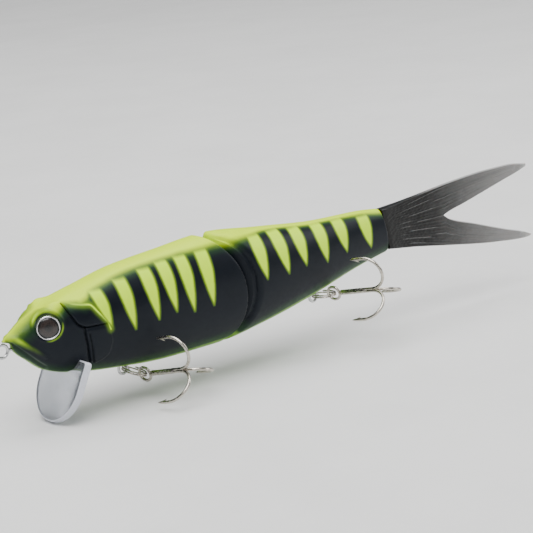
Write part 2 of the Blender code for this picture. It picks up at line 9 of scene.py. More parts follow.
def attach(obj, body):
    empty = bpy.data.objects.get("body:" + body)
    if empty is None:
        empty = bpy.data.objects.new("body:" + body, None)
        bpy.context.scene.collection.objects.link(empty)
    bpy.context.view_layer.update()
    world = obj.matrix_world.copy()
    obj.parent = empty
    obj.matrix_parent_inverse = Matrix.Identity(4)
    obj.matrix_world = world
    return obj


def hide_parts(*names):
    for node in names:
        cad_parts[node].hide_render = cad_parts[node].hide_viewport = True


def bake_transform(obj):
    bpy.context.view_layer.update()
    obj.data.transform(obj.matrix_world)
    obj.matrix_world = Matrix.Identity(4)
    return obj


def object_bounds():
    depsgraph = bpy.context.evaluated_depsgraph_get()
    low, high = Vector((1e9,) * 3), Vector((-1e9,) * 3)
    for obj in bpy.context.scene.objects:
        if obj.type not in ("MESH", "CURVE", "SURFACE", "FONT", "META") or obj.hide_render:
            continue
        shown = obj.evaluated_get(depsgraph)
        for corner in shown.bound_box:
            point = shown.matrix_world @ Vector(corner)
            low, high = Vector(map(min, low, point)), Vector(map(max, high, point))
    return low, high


# Looks of the jointed swimbait. Sizes are millimetres, and become metres as meshes are made.
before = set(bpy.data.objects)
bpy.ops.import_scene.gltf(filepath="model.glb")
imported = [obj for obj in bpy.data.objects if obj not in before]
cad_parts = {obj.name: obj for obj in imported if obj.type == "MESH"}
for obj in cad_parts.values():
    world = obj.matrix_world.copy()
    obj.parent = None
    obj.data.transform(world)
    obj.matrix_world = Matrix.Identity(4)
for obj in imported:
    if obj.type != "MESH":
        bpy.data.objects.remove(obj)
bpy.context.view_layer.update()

MM = 0.001

# Body profiles and fittings, the same numbers as in the CAD part
TOP = ((0.6, 3.3), (10, 9.4), (18, 12.6), (30, 15.6), (45, 19.0), (62, 20.8), (82, 22.5),
       (104, 20.1), (130, 17.5), (146, 17.2), (157.6, 16.2))
BOTTOM = ((0.6, 2.8), (2.9, 1.9), (4.0, -0.9), (8, -4.8), (13, -8.9), (20, -11.5), (36, -14.2),
          (60, -16.1), (80, -15.8), (100, -13.1), (120, -9.1), (142, -3.4), (157.6, 0.1))
HALF_WIDTH = ((0.6, 0.6), (4, 3.0), (8, 5.0), (13, 7.2), (19, 9.3), (27, 11.1), (38, 12.2),
              (55, 12.7), (84, 12.5), (100, 11.5), (120, 9.0), (140, 6.0), (157.6, 3.4))
WIDEST = ((0.6, 3.0), (15, 2.8), (60, 2.6), (100, 4.0), (157.6, 8.2))
SQUARENESS = ((0.6, 2.0), (12, 2.3), (20, 2.6), (32, 2.4), (60, 2.25), (157.6, 2.1))
BODY_END = 157.6
END_LEAN = 0.155
LEAN_START = 148
BROW = (16.4, 6.2, 2.3)
BROW_SPREAD = (3.2, 2.8)
HINGE_X = 88.0
NOTCH_RADIUS = 8.9
NOTCH_TANGENT_DEG = 125.8
NOTCH_LIP = (88.6, 11.4)
WEDGE_RADIUS = 6.4
WEDGE_TANGENT_DEG = 126.4
RIM_CENTRE = (62.1, 1.2)
RIM_RADIUS = 26.5
HINGE_EYES = (-5.0, 11.0)
TIE_RADIUS = 2.15
TIE_WIRE = 0.5
TIE_STEM_END = 12.0
EYE_CENTRE = (13.9, 7.0, 5.7)
EYE_FORWARD_DEG = 23.0
EYE_UP_DEG = 5.0
EYE_RING_OUTER = 3.9
EYE_RING_INNER = 3.05
EYE_RING_CHAMFER = 0.30
EYE_SEAT = 1.9
EYE_DOME = 0.85
LENS_RADIUS = 2.7
LIP_SHOULDER = (22.9, -6.8)
LIP_LEAN_DEG = 26.3
LIP_HALF_WIDTH = 13.0
LIP_LENGTH = 22.0
LIP_STRAIGHT = 10.0
LIP_THICKNESS = 2.6
LIP_CORNER = 1.2
LIP_ROOM = 0.12
TONGUE = (6.0, 5.0)
HANGERS = {"front": (43.5, -16.4, -10.6), "rear": (124.0, -9.5, -3.2)}
HANGER_ARC = 1.6
HANGER_WIRE = 0.5
RING_RADIUS = 4.1
RING_RADIAL = 0.38
RING_AXIAL = 0.27
RING_TURN_PITCH = 0.66
RING_DIRECTION = {"front": (6.9, -3.0, -3.3), "rear": (8.1, -3.0, -0.3)}
RING_TANGENT = (0.45, 0.85, -0.05)
RING_SEAT = 0.35
RING_TO_EYE = -0.3
HOOK_EYE_RADIUS = 2.4
HOOK_EYE_WIRE = 0.5
SHANK_LENGTH = 16.6
BEND_DEPTH = 6.2
GAPE = 12.3
POINT_SETBACK = 5.0
HOOK_WIRE = 0.58
POINT_TAPER = (0.53, 0.48, 0.37, 0.22, 0.03)
# The round wire is held in by this much, so that it stays inside the faceted CAD hook's box
GAPE_INSET = 0.105
WIRE_INSET = 0.03
HOOK_POSE = {"front": (74.8, 10.5, 12.4), "rear": (71.1, 8.0, 13.7)}
TAIL_ROOT = 158.2
TAIL_FORK = (186.7, 7.8)
TAIL_MIDDLE_Z = 8.2
TAIL_UPPER = ((158.2, 15.9), (174, 17.7), (191, 19.7), (208, 20.8), (219, 20.9), (229.2, 19.7))
TAIL_UPPER_INNER = ((186.7, 7.8), (189.5, 8.7), (196, 10.1), (203, 11.8), (210.2, 13.6), (217.5, 15.4),
                    (224.8, 17.2), (229.2, 18.6))
TAIL_LOWER_INNER = ((186.7, 7.8), (189.4, 5.9), (201.4, 1.8), (216.6, -3.4), (226.2, -6.4), (229.6, -7.9))
TAIL_LOWER = ((158.2, 0.6), (171, -1.1), (190.4, -4.4), (211, -7.5), (227, -8.8), (229.6, -8.5))
TAIL_THICKNESS = ((158.2, 5.0), (168.5, 3.0), (180, 2.0), (200, 1.4), (229.6, 0.9))

# Head relief, side view (x, z)
GILL_DIAGONAL = ((20.0, 12.3), (20.5, 10.3), (21.6, 7.8), (22.9, 5.3), (25.3, 3.7))
GILL_LEVEL = ((25.3, 3.7), (28.9, 3.6), (32.5, 3.6))
GILL_UPRIGHT = ((25.0, 3.2), (25.3, 0.1), (25.7, -3.0), (26.0, -6.2), (26.4, -8.4))
GILL_SECOND = ((26.5, 1.6), (26.7, -0.2), (27.1, -3.3), (27.4, -6.5), (27.9, -8.6))
PANEL_TOP = ((21.1, 12.8), (23.0, 11.8), (25.4, 11.2), (28.3, 10.6), (30.4, 7.9), (32.0, 5.7),
             (33.3, 3.8), (33.9, 1.5))
PLATE_LOW = ((34.3, -0.3), (34.5, -2.4), (34.1, -4.3), (33.3, -6.6), (31.6, -8.2), (28.9, -9.2))
MOUTH_RIDGE = ((1.8, 3.7), (3.0, 3.9), (5.1, 2.6), (7.7, 0.3), (10.0, -1.6), (12.5, -3.6))
MOUTH_GROOVE = ((1.4, 3.2), (3.2, 1.7), (5.1, -0.3), (8.1, -3.3), (10.5, -5.7), (12.5, -7.5))

# Well past the body in any direction, and a depth that stands for far inside
WAY = 40
FAR = 9.0
SKIN_INSET = 0.03
# The soft tail starts this much nearer the body than its CAD solid, so no light shows between them
TAIL_CLOSE = 0.4
SOCKET_RADIUS = 4.75
SOCKET_RISE = 0.4

# Paint: arc length from the back's centre line to the edge of the yellow back, and from the
# belly's centre line to the edge of the pale belly, along x
BACK_EDGE = ((0.6, 0.9), (4.2, 1.7), (6.9, 1.6), (9.9, 1.5), (12.5, 1.8), (14.5, 3.4), (16, 6.4),
             (17.3, 7.6), (19.2, 6.8), (20.5, 6.2), (22, 6.6), (24.3, 7.8), (26.2, 9.0), (28, 8.8),
             (30.5, 6.8), (47, 5.9), (63, 6.3), (76.5, 7.7), (86.7, 7.7), (93.5, 6.6), (102.4, 3.9),
             (111, 3.2), (120.5, 3.1), (130.8, 2.3), (151, 2.5))
BELLY_EDGE = ((0.6, 0.9), (10, 2.1), (17.7, 3.9), (23.5, 6.4), (38.5, 6.4), (49.7, 7.2), (81.9, 7.9),
              (88.6, 7.0), (104.4, 7.4), (128.5, 5.5), (156.9, 1.6))
# Claw stripes: x and z of the top, x and z of the tip, width at the top
STRIPES = ((32.0, 13.8, 34.2, 2.6, 4.4), (41.3, 15.5, 42.8, -0.1, 4.6), (50.9, 16.9, 51.9, 1.1, 4.8),
           (58.1, 17.9, 59.0, 2.1, 4.8), (65.4, 18.2, 66.0, 0.7, 4.8), (73.6, 18.4, 73.9, 1.0, 5.1),
           (96.4, 18.7, 97.1, 4.8, 5.5), (105.7, 18.5, 107.0, 4.5, 5.7), (114.9, 17.6, 115.5, 5.4, 5.5),
           (125.1, 16.8, 125.8, 4.3, 5.6), (134.9, 16.3, 135.8, 5.6, 5.5), (146.5, 15.2, 148.3, 4.3, 5.6))
CLAW_LEFT = ((-1.0, 0.2), (-0.1, 0.40), (0.0, 0.46), (0.27, 0.50), (0.5, 0.43), (0.68, 0.32), (0.85, 0.16),
             (1.0, -0.02), (1.4, -0.5))
CLAW_RIGHT = ((-1.0, 0.2), (-0.1, 0.40), (0.0, 0.46), (0.3, 0.42), (0.6, 0.29), (0.8, 0.19), (1.0, 0.06),
              (1.4, -0.4))

# Surroundings, with the floor's half width in metres
FLOOR_REACH = 6.0
SKY_SPREAD = math.radians(60)
CAMERA_PLACE = (-280.49, -556.87, 160.65)
CAMERA_YAW_DEG = -34.721
CAMERA_PITCH_DEG = 12.899
CAMERA_ROLL_DEG = 5.619
CAMERA_LENS = 135.18


# ---------------- curves and shapes

def unit(vectors):
    """The vector, or each row of vectors, at length 1."""
    vectors = np.asarray(vectors, float)
    return vectors / np.linalg.norm(vectors, axis=-1, keepdims=True)


def curve(knots):
    """A smooth function through the knots, without overshoot."""
    xs = np.array([k[0] for k in knots], float)
    ys = np.array([k[1] for k in knots], float)
    steps = np.diff(ys) / np.diff(xs)
    slopes = np.zeros(len(xs))
    slopes[0] = steps[0]
    slopes[-1] = steps[-1]
    for i in range(1, len(xs) - 1):
        before, after = steps[i - 1], steps[i]
        slopes[i] = 0.0 if before * after <= 0 else 2 * before * after / (before + after)

    def value(x):
        x = np.clip(np.asarray(x, float), xs[0], xs[-1])
        i = np.clip(np.searchsorted(xs, x, side="right") - 1, 0, len(xs) - 2)
        h = xs[i + 1] - xs[i]
        t = (x - xs[i]) / h
        return (ys[i] * (1 + 2 * t) * (1 - t) ** 2 + ys[i + 1] * t * t * (3 - 2 * t)
                + h * slopes[i] * t * (1 - t) ** 2 - h * slopes[i + 1] * t * t * (1 - t))

    return value


top_at = curve(TOP)
bottom_at = curve(BOTTOM)
half_width_at = curve(HALF_WIDTH)
widest_at = curve(WIDEST)
squareness_at = curve(SQUARENESS)
tail_thickness_at = curve(TAIL_THICKNESS)
back_edge_at = curve(BACK_EDGE)
belly_edge_at = curve(BELLY_EDGE)
paint_softness_at = curve(((0.6, 1.6), (9, 1.9), (17, 1.4), (24, 1.0), (90, 1.0), (106, 0.6), (157.6, 0.6)))


def smooth(value, low, high):
    """0 below low, 1 above high, with an even ramp between."""
    t = np.clip((value - low) / (high - low), 0, 1)
    return t * t * (3 - 2 * t)


def bell(value, width):
    """1 at 0, falling evenly on both sides."""
    return np.exp(-(value / width) ** 2)


def skin(x, angle):
    """y and z of the body's skin; the angle runs from the back over the left flank and round."""
    centre = widest_at(x)
    power = 2 / squareness_at(x)
    c = np.cos(angle)
    s = np.sin(angle)
    rise = np.where(c > 0, top_at(x) - centre, centre - bottom_at(x))
    y = -half_width_at(x) * np.sign(s) * np.abs(s) ** power
    z = centre + rise * np.sign(c) * np.abs(c) ** power
    brow = BROW[2] * bell(x - BROW[0], BROW_SPREAD[0])
    z = z + brow * np.maximum(c, 0) * bell(np.abs(y) - BROW[1], BROW_SPREAD[1])
    return y, z


def line_distance(px, pz, line):
    """Distance in the side view from each point to a polyline."""
    best = np.full(px.shape, 1e9)
    for (ax, az), (bx, bz) in zip(line, line[1:]):
        dx, dz = bx - ax, bz - az
        t = np.clip(((px - ax) * dx + (pz - az) * dz) / (dx * dx + dz * dz), 0, 1)
        best = np.minimum(best, np.hypot(px - ax - t * dx, pz - az - t * dz))
    return best


def inside_depth(px, pz, outline):
    """Signed distance in the side view: positive inside the closed outline."""
    loop = list(outline) + [outline[0]]
    crossings = np.zeros(px.shape, int)
    for (ax, az), (bx, bz) in zip(loop, loop[1:]):
        if az == bz:
            continue
        crosses = ((az > pz) != (bz > pz)) & (px < ax + (bx - ax) * (pz - az) / (bz - az))
        crossings += crosses
    return np.where(crossings % 2 == 1, 1, -1) * line_distance(px, pz, loop)


def rounded(line, steps=6):
    """The polyline as a smooth curve through the same points."""
    points = np.array(line, float)
    along = np.concatenate([[0], np.cumsum(np.hypot(*np.diff(points, axis=0).T))])
    share = np.linspace(0, along[-1], steps * (len(points) - 1) + 1)
    columns = [curve(list(zip(along, points[:, k])))(share) for k in (0, 1)]
    return list(zip(*columns))


def make_mesh(name, verts, faces):
    """An object from points in millimetres. Normals are made to face outwards."""
    mesh = bpy.data.meshes.new(name)
    mesh.from_pydata((np.asarray(verts, float) * MM).tolist(), [], faces)
    bm = bmesh.new()
    bm.from_mesh(mesh)
    bmesh.ops.remove_doubles(bm, verts=bm.verts, dist=2e-7)
    bmesh.ops.recalc_face_normals(bm, faces=bm.faces)
    bm.to_mesh(mesh)
    bm.free()
    made = bpy.data.objects.new(name, mesh)
    bpy.context.scene.collection.objects.link(made)
    return made


def grid_faces(rows, columns, wrap_rows=False, wrap_columns=True):
    """Quads over a grid whose points are numbered row by row."""
    made = []
    last_row = rows if wrap_rows else rows - 1
    last_column = columns if wrap_columns else columns - 1
    for i in range(last_row):
        n = (i + 1) % rows
        for k in range(last_column):
            m = (k + 1) % columns
            made.append((i * columns + k, i * columns + m, n * columns + m, n * columns + k))
    return made


def loft(name, rings, closed=False):
    """A solid over rings of points with the same count; open lofts get end caps."""
    rings = np.asarray(rings, float)
    rows, columns = rings.shape[:2]
    faces = grid_faces(rows, columns, wrap_rows=closed)
    if not closed:
        faces.append(tuple(range(columns)))
        faces.append(tuple(range((rows - 1) * columns, rows * columns)))
    return make_mesh(name, rings.reshape(-1, 3), faces)


def sweep(name, path, radius, axis, sides=20, closed=False, flat=1.0, lobes=None):
    """A tube along a path. The axis is the path plane's normal; flat narrows the tube along it.

    Lobes, where given, is a function of the angle round the tube that scales its radius.
    """
    path = np.asarray(path, float)
    along = unit(np.roll(path, -1, 0) - np.roll(path, 1, 0) if closed else np.gradient(path, axis=0))
    across = unit(np.cross(unit(axis), along))
    other = np.cross(along, across)
    angle = 2 * math.pi * np.arange(sides) / sides
    scale = np.ones(sides) if lobes is None else lobes(angle)
    radius = np.broadcast_to(np.asarray(radius, float), (len(path),))
    rings = (path[:, None] + across[:, None] * (radius[:, None] * np.cos(angle) * scale)[..., None]
             + other[:, None] * (radius[:, None] * np.sin(angle) * scale * flat)[..., None])
    return loft(name, rings, closed)


def turned(name, profile, centre, axis, sides=96, closed=True):
    """A solid of revolution from (radius, height) points about an axis through the centre."""
    along = unit(axis)
    across = unit(np.cross(along, (0, 0, 1)))
    other = np.cross(along, across)
    angles = 2 * math.pi * np.arange(sides) / sides
    out = across * np.cos(angles)[:, None] + other * np.sin(angles)[:, None]
    rings = [centre + along * h + out * r for r, h in profile]
    return loft(name, rings, closed)


def rod(name, start, end, radius, sides=24):
    along = np.subtract(end, start)
    helper = (0, 1, 0) if abs(along[1]) < 0.9 * np.linalg.norm(along) else (0, 0, 1)
    return sweep(name, [start, end], radius, np.cross(along, helper), sides)


def prism(name, outline, axis, low=-WAY, high=WAY):
    place = {"y": lambda p, t: (p[0], t, p[1]), "z": lambda p, t: (p[0], p[1], t)}[axis]
    return loft(name, [[place(p, t) for p in outline] for t in (low, high)])


def arc(centre, radius, start_deg, end_deg, steps):
    a = np.radians(np.linspace(start_deg, end_deg, steps + 1))
    return list(zip(centre[0] + radius * np.cos(a), centre[1] + radius * np.sin(a)))


def combine(target, steps):
    """Applies boolean steps of (operation, object) and removes the objects used."""
    for operation, other in steps:
        step = target.modifiers.new(other.name, "BOOLEAN")
        step.object = other
        step.operation = operation
        step.solver = "EXACT"
    settle(target)
    for _, other in steps:
        bpy.data.objects.remove(other, do_unlink=True)


def settle(target):
    """Replaces an object's mesh by the result of its modifiers."""
    depsgraph = bpy.context.evaluated_depsgraph_get()
    mesh = bpy.data.meshes.new_from_object(target.evaluated_get(depsgraph))
    target.modifiers.clear()
    target.data = mesh
    mesh.name = target.name


def shade(target, sharp_deg=35):
    target.data.shade_smooth()
    target.data.set_sharp_from_angle(angle=math.radians(sharp_deg))


def points_of(target):
    """The object's points in millimetres."""
    co = np.zeros(len(target.data.vertices) * 3, np.float32)
    target.data.vertices.foreach_get("co", co)
    return co.reshape(-1, 3).astype(float) / MM


def store(target, name, values):
    """Keeps one number per point for the materials."""
    attribute = target.data.attributes.new(name, "FLOAT", "POINT")
    attribute.data.foreach_set("value", np.asarray(values, np.float32))


# ---------------- materials

class Finish:
    """A procedural material built from short calls."""

    def __init__(self, name):
        self.material = bpy.data.materials.new(name)
        self.material.use_nodes = True
        self.tree = self.material.node_tree
        self.surface = self.tree.nodes["Principled BSDF"]
        self.place = self.tree.nodes.new("ShaderNodeTexCoord").outputs["Object"]

    def put(self, socket, value):
        if isinstance(value, bpy.types.NodeSocket):
            self.tree.links.new(value, socket)
        elif isinstance(value, (tuple, list)) and len(value) == 3 and socket.type == "RGBA":
            socket.default_value = (*value, 1.0)
        else:
            socket.default_value = value

    def set(self, **values):
        for name, value in values.items():
            self.put(self.surface.inputs[name.replace("_", " ")], value)
        return self.material

    def node(self, kind, inputs=(), **settings):
        """A new node with these settings, and a value or a link for each of these inputs."""
        made = self.tree.nodes.new("ShaderNode" + kind)
        for name, value in settings.items():
            setattr(made, name, value)
        for socket, value in inputs:
            self.put(made.inputs[socket], value)
        return made.outputs

    def noise(self, size, detail=3.0, roughness=0.5, stretch=None, seed=0.0):
        """Noise whose features are about so many millimetres across."""
        vector = self.place
        if stretch:
            vector = self.node("Mapping", (("Vector", vector), ("Scale", stretch)))["Vector"]
        return self.node("TexNoise", (("Vector", vector), ("W", seed), ("Scale", 1 / (size * MM)),
                                      ("Detail", detail), ("Roughness", roughness)),
                         noise_dimensions="4D")["Fac"]

    def cells(self, size):
        """Distance from the nearest of points scattered about so many millimetres apart."""
        return self.node("TexVoronoi", (("Vector", self.place), ("Scale", 1 / (size * MM))))["Distance"]

    def attribute(self, name):
        return self.node("Attribute", attribute_name=name)["Fac"]

    def remap(self, value, low, high, out_low=0.0, out_high=1.0):
        return self.node("MapRange", (("Value", value), ("From Min", low), ("From Max", high),
                                      ("To Min", out_low), ("To Max", out_high)),
                         interpolation_type="SMOOTHSTEP")["Result"]

    def math(self, operation, first, second):
        return self.node("Math", ((0, first), (1, second)), operation=operation)["Value"]

    def plus(self, first, second):
        return self.math("ADD", first, second)

    def times(self, first, second):
        return self.math("MULTIPLY", first, second)

    def mix(self, share, first, second):
        """A blend of two colours, whose sockets on the node go by number."""
        return self.node("Mix", (("Factor", share), (6, first), (7, second)), data_type="RGBA")[2]

    def mottled(self, size, seed, first, second, detail=4):
        """A colour that wanders between two, in patches about so many millimetres across."""
        return self.mix(self.noise(size, detail, 0.6, seed=seed), first, second)

    def layers(self, colour, steps):
        """Lays each colour over the ones before it, where its guide rises from low to high."""
        for guide, low, high, over in steps:
            colour = self.mix(self.remap(guide, low, high), colour, over)
        return colour

    def bump(self, height, depth, strength=1.0, under=None):
        """A bump of so many millimetres from a height between 0 and 1."""
        inputs = [("Distance", depth * MM), ("Strength", strength), ("Height", height)]
        if under:
            inputs.append(("Normal", under))
        return self.node("Bump", inputs)["Normal"]


def paint_finish():
    """Black flanks, yellow-green back, pale claw stripes and belly, under a clear coat."""
    f = Finish("painted_shell")
    wander = f.plus(f.noise(3.5, 4, 0.6), -0.5)
    fine = f.plus(f.noise(0.35, 2, 0.7, seed=3), -0.5)
    spray = f.plus(f.times(wander, 0.5), f.times(fine, 0.5))
    back = f.plus(f.attribute("back_depth"), spray)
    stripe = f.plus(f.attribute("stripe_depth"), f.times(spray, 0.45))
    belly = f.plus(f.attribute("belly_depth"), spray)
    # Painted highlight along the gill panel's top edge, the mouth ridge and the eye socket's rim, in olive
    # and lime
    highlight_mask = f.attribute("painted_rim_highlight")
    flake = f.remap(f.cells(0.16), 0.0, 0.22, 1.0, 0.0)
    dark = f.mottled(2.2, 1, (0.0018, 0.0028, 0.0048), (0.0038, 0.0052, 0.0082), 5)
    dark = f.mix(f.times(flake, 0.04), dark, (0.05, 0.07, 0.09))
    green = f.mottled(1.6, 2, (0.008, 0.032, 0.009), (0.014, 0.048, 0.011))
    olive = f.mottled(1.6, 10, (0.10, 0.19, 0.006), (0.14, 0.25, 0.009))
    lime = f.mottled(1.9, 4, (0.54, 0.84, 0.002), (0.62, 0.92, 0.004))
    yellow = f.mottled(5.0, 5, (0.56, 0.78, 0.001), (0.66, 0.88, 0.002))
    pale = f.mottled(4.0, 6, (0.14, 0.31, 0.035), (0.21, 0.39, 0.05))
    colour = f.layers(dark, ((back, -5.2, -1.0, green), (belly, -4.4, -0.4, green),
                             (highlight_mask, 0.05, 0.5, olive), (highlight_mask, 0.35, 0.95, lime),
                             (back, -2.9, 0.2, olive), (stripe, -0.9, 0.05, olive),
                             (stripe, -0.25, 0.6, lime), (back, -1.5, 1.6, yellow),
                             (belly, -0.2, 1.2, pale)))
    # Painted shade darkens the grooves, the mouth and the eye socket's recess
    crease_shade = f.remap(f.attribute("crease_shade"), 0.15, 1.0, 0.0, 0.8)
    colour = f.mix(crease_shade, colour, (0.004, 0.005, 0.006))
    orange_peel = f.noise(1.1, 2, 0.5, seed=7)
    dust = f.noise(0.12, 2, 0.5, seed=8)
    f.set(Base_Color=colour, Roughness=f.remap(f.noise(1.4, 5, 0.6, seed=9), 0.3, 0.7, 0.42, 0.52),
          Normal=f.bump(dust, 0.004, 0.5, f.bump(orange_peel, 0.012, 0.6)),
          Coat_Normal=f.bump(orange_peel, 0.006, 0.5))
    return f.set(Coat_Weight=0.12, Coat_Roughness=0.22, Coat_IOR=1.42, IOR=1.27,
                 Specular_Tint=(0.76, 0.87, 1.0))


def inner_finish():
    """Moulded dark plastic with overspray, on the faces between the two sections."""
    f = Finish("joint_plastic")
    spray = f.noise(2.0, 5, 0.65, seed=1)
    colour = f.mix(f.remap(spray, 0.35, 0.75), (0.007, 0.009, 0.011), (0.016, 0.030, 0.018))
    marks = f.noise(0.25, 3, 0.6, stretch=(1, 1, 0.15), seed=2)
    f.set(Base_Color=colour, Roughness=f.remap(spray, 0.3, 0.7, 0.32, 0.48),
          Normal=f.bump(marks, 0.01, 0.5))
    return f.set(Coat_Weight=0.35, Coat_Roughness=0.15, IOR=1.47)


def metal_finish(name, dark, light, low, high, seed):
    """Plated or drawn wire: colour mottling, drawing lines and tiny pits."""
    f = Finish(name)
    mottle = f.noise(1.2, 5, 0.6, seed=seed)
    lines = f.noise(0.10, 3, 0.6, stretch=(0.25, 1, 1), seed=seed + 1)
    pits = f.noise(0.05, 2, 0.5, seed=seed + 2)
    return f.set(Base_Color=f.mix(f.remap(mottle, 0.3, 0.7), dark, light),
                 Roughness=f.remap(f.plus(mottle, f.times(lines, 0.4)), 0.4, 0.9, low, high),
                 Normal=f.bump(pits, 0.003, 0.5, f.bump(lines, 0.004, 0.5)), Metallic=1.0)


def lens_finish():
    """Dark iris with faint radial fibres, under domed clear resin."""
    f = Finish("eye_resin_dome")
    reach = f.attribute("reach")
    fibre = f.attribute("fibre")
    grain = f.noise(0.22, 4, 0.6, seed=1)
    iris = f.mix(f.remap(grain, 0.3, 0.7), (0.012, 0.009, 0.008), (0.026, 0.018, 0.016))
    iris = f.mix(f.remap(fibre, 0.35, 1.0, 0.0, 0.45), iris, (0.050, 0.028, 0.022))
    colour = f.layers((0.008, 0.007, 0.007), ((reach, 0.30, 0.62, iris),
                                              (reach, 0.92, 1.1, (0.006, 0.006, 0.006))))
    f.set(Base_Color=colour, Roughness=f.remap(grain, 0.3, 0.7, 0.22, 0.34),
          Normal=f.bump(grain, 0.01, 0.4), Coat_Normal=f.bump(f.noise(0.9, 2, 0.5, seed=2), 0.004, 0.4))
    return f.set(Coat_Weight=0.4, Coat_Roughness=0.12, Coat_IOR=1.5, IOR=1.45)


def clear_finish():
    """Clear moulded polycarbonate with faint flow waves; rougher edges with a painted highlight."""
    f = Finish("clear_polycarbonate")
    waves = f.noise(6.0, 3, 0.5, stretch=(1, 0.6, 1), seed=1)
    scuffs = f.noise(0.5, 4, 0.7, stretch=(1, 0.2, 1), seed=2)
    # The edge faces get a painted whitish highlight and less transmission, and are rougher
    edge = f.attribute("edge")
    haze = f.plus(f.remap(scuffs, 0.50, 0.85, 0.06, 0.22), f.times(edge, 0.22))
    tint = f.mix(f.remap(waves, 0.3, 0.7), (0.58, 0.61, 0.66), (0.68, 0.70, 0.75))
    return f.set(Base_Color=f.mix(f.times(edge, 0.9), tint, (0.88, 0.90, 1.0)), Roughness=haze,
                 Transmission_Weight=f.plus(0.90, f.times(edge, -0.55)),
                 Normal=f.bump(waves, 0.10, 0.6), IOR=1.58)


def tail_finish():
    """Smoke-coloured soft plastic: near black at the root, greyer and clearer towards the tips."""
    f = Finish("smoke_plastic")
    reach = f.attribute("reach")
    mottle = f.noise(1.8, 5, 0.65, stretch=(0.6, 1, 1), seed=1)
    speck = f.noise(0.22, 3, 0.6, seed=2)
    wander = f.plus(reach, f.times(f.plus(mottle, -0.5), 0.22))
    clear = (0.42, 0.42, 0.41)
    colour = f.layers((0.002, 0.002, 0.002), ((mottle, 0.35, 0.65, (0.008, 0.008, 0.0075)),
                                              (wander, 0.24, 0.60, (0.075, 0.074, 0.072)),
                                              (wander, 0.45, 0.90, (0.20, 0.195, 0.19)),
                                              (wander, 0.90, 1.02, clear)))
    # Painted highlight on the raised fin rays
    ray_highlight = f.times(f.remap(f.attribute("ray"), 0.35, 0.95), f.remap(wander, 0.02, 0.25, 0.12, 0.42))
    colour = f.mix(ray_highlight, colour, (0.16, 0.16, 0.155))
    for name, share, over in (("streak", 0.45, (0.05, 0.05, 0.05)), ("line", 0.35, (0.06, 0.06, 0.058)),
                              ("thin", 0.7, clear)):
        colour = f.mix(f.times(f.attribute(name), share), colour, over)
    f.set(Base_Color=colour, Roughness=f.remap(speck, 0.3, 0.7, 0.28, 0.44),
          Transmission_Weight=f.remap(reach, 0.35, 1.0, 0.0, 0.15),
          Normal=f.bump(speck, 0.015, 0.5, f.bump(mottle, 0.05, 0.5)))
    return f.set(IOR=1.33, Subsurface_Weight=0.10, Subsurface_Scale=0.0015, Coat_Weight=0.12,
                 Coat_Roughness=0.20)


def plain_finish(name, first, second, roughness, size, metallic=0.0):
    """A moulded or cast material with mottling and a fine grain."""
    f = Finish(name)
    mottle = f.noise(size, 5, 0.6, seed=1)
    grain = f.noise(size * 0.12, 3, 0.6, seed=2)
    return f.set(Base_Color=f.mix(f.remap(mottle, 0.3, 0.7), first, second),
                 Roughness=f.remap(grain, 0.3, 0.7, roughness - 0.06, roughness + 0.08),
                 Normal=f.bump(grain, 0.02, 0.5), Metallic=metallic)


# ---------------- body sections

ARC_X = np.linspace(0.6, BODY_END, 316)
ARC_ANGLE = np.linspace(0, math.pi, 361)


def arc_lengths(x, y, z):
    """Arc length of each point from the back's centre line and from the belly's."""
    y0, z0 = skin(ARC_X[:, None], ARC_ANGLE[None, :])
    steps = np.hypot(np.diff(y0, axis=1), np.diff(z0, axis=1))
    table = np.concatenate([np.zeros((len(ARC_X), 1)), np.cumsum(steps, axis=1)], axis=1)
    centre = widest_at(x)
    power = squareness_at(x) / 2
    rise = np.where(z > centre, top_at(x) - centre, centre - bottom_at(x))
    c = np.sign(z - centre) * np.clip(np.abs(z - centre) / rise, 0, 1) ** power
    s = np.clip(np.abs(y) / half_width_at(x), 0, 1) ** power
    angle = np.arctan2(s, c)
    i = np.clip((x - ARC_X[0]) / (ARC_X[1] - ARC_X[0]), 0, len(ARC_X) - 1.001)
    k = np.clip(angle / (ARC_ANGLE[1] - ARC_ANGLE[0]), 0, len(ARC_ANGLE) - 1.001)
    row, column = i.astype(int), k.astype(int)
    i, k = i - row, k - column
    from_back, next_back, girth = (table[row, c] * (1 - i) + table[row + 1, c] * i
                                   for c in (column, column + 1, -1))
    from_back = from_back * (1 - k) + next_back * k
    return from_back, girth - from_back


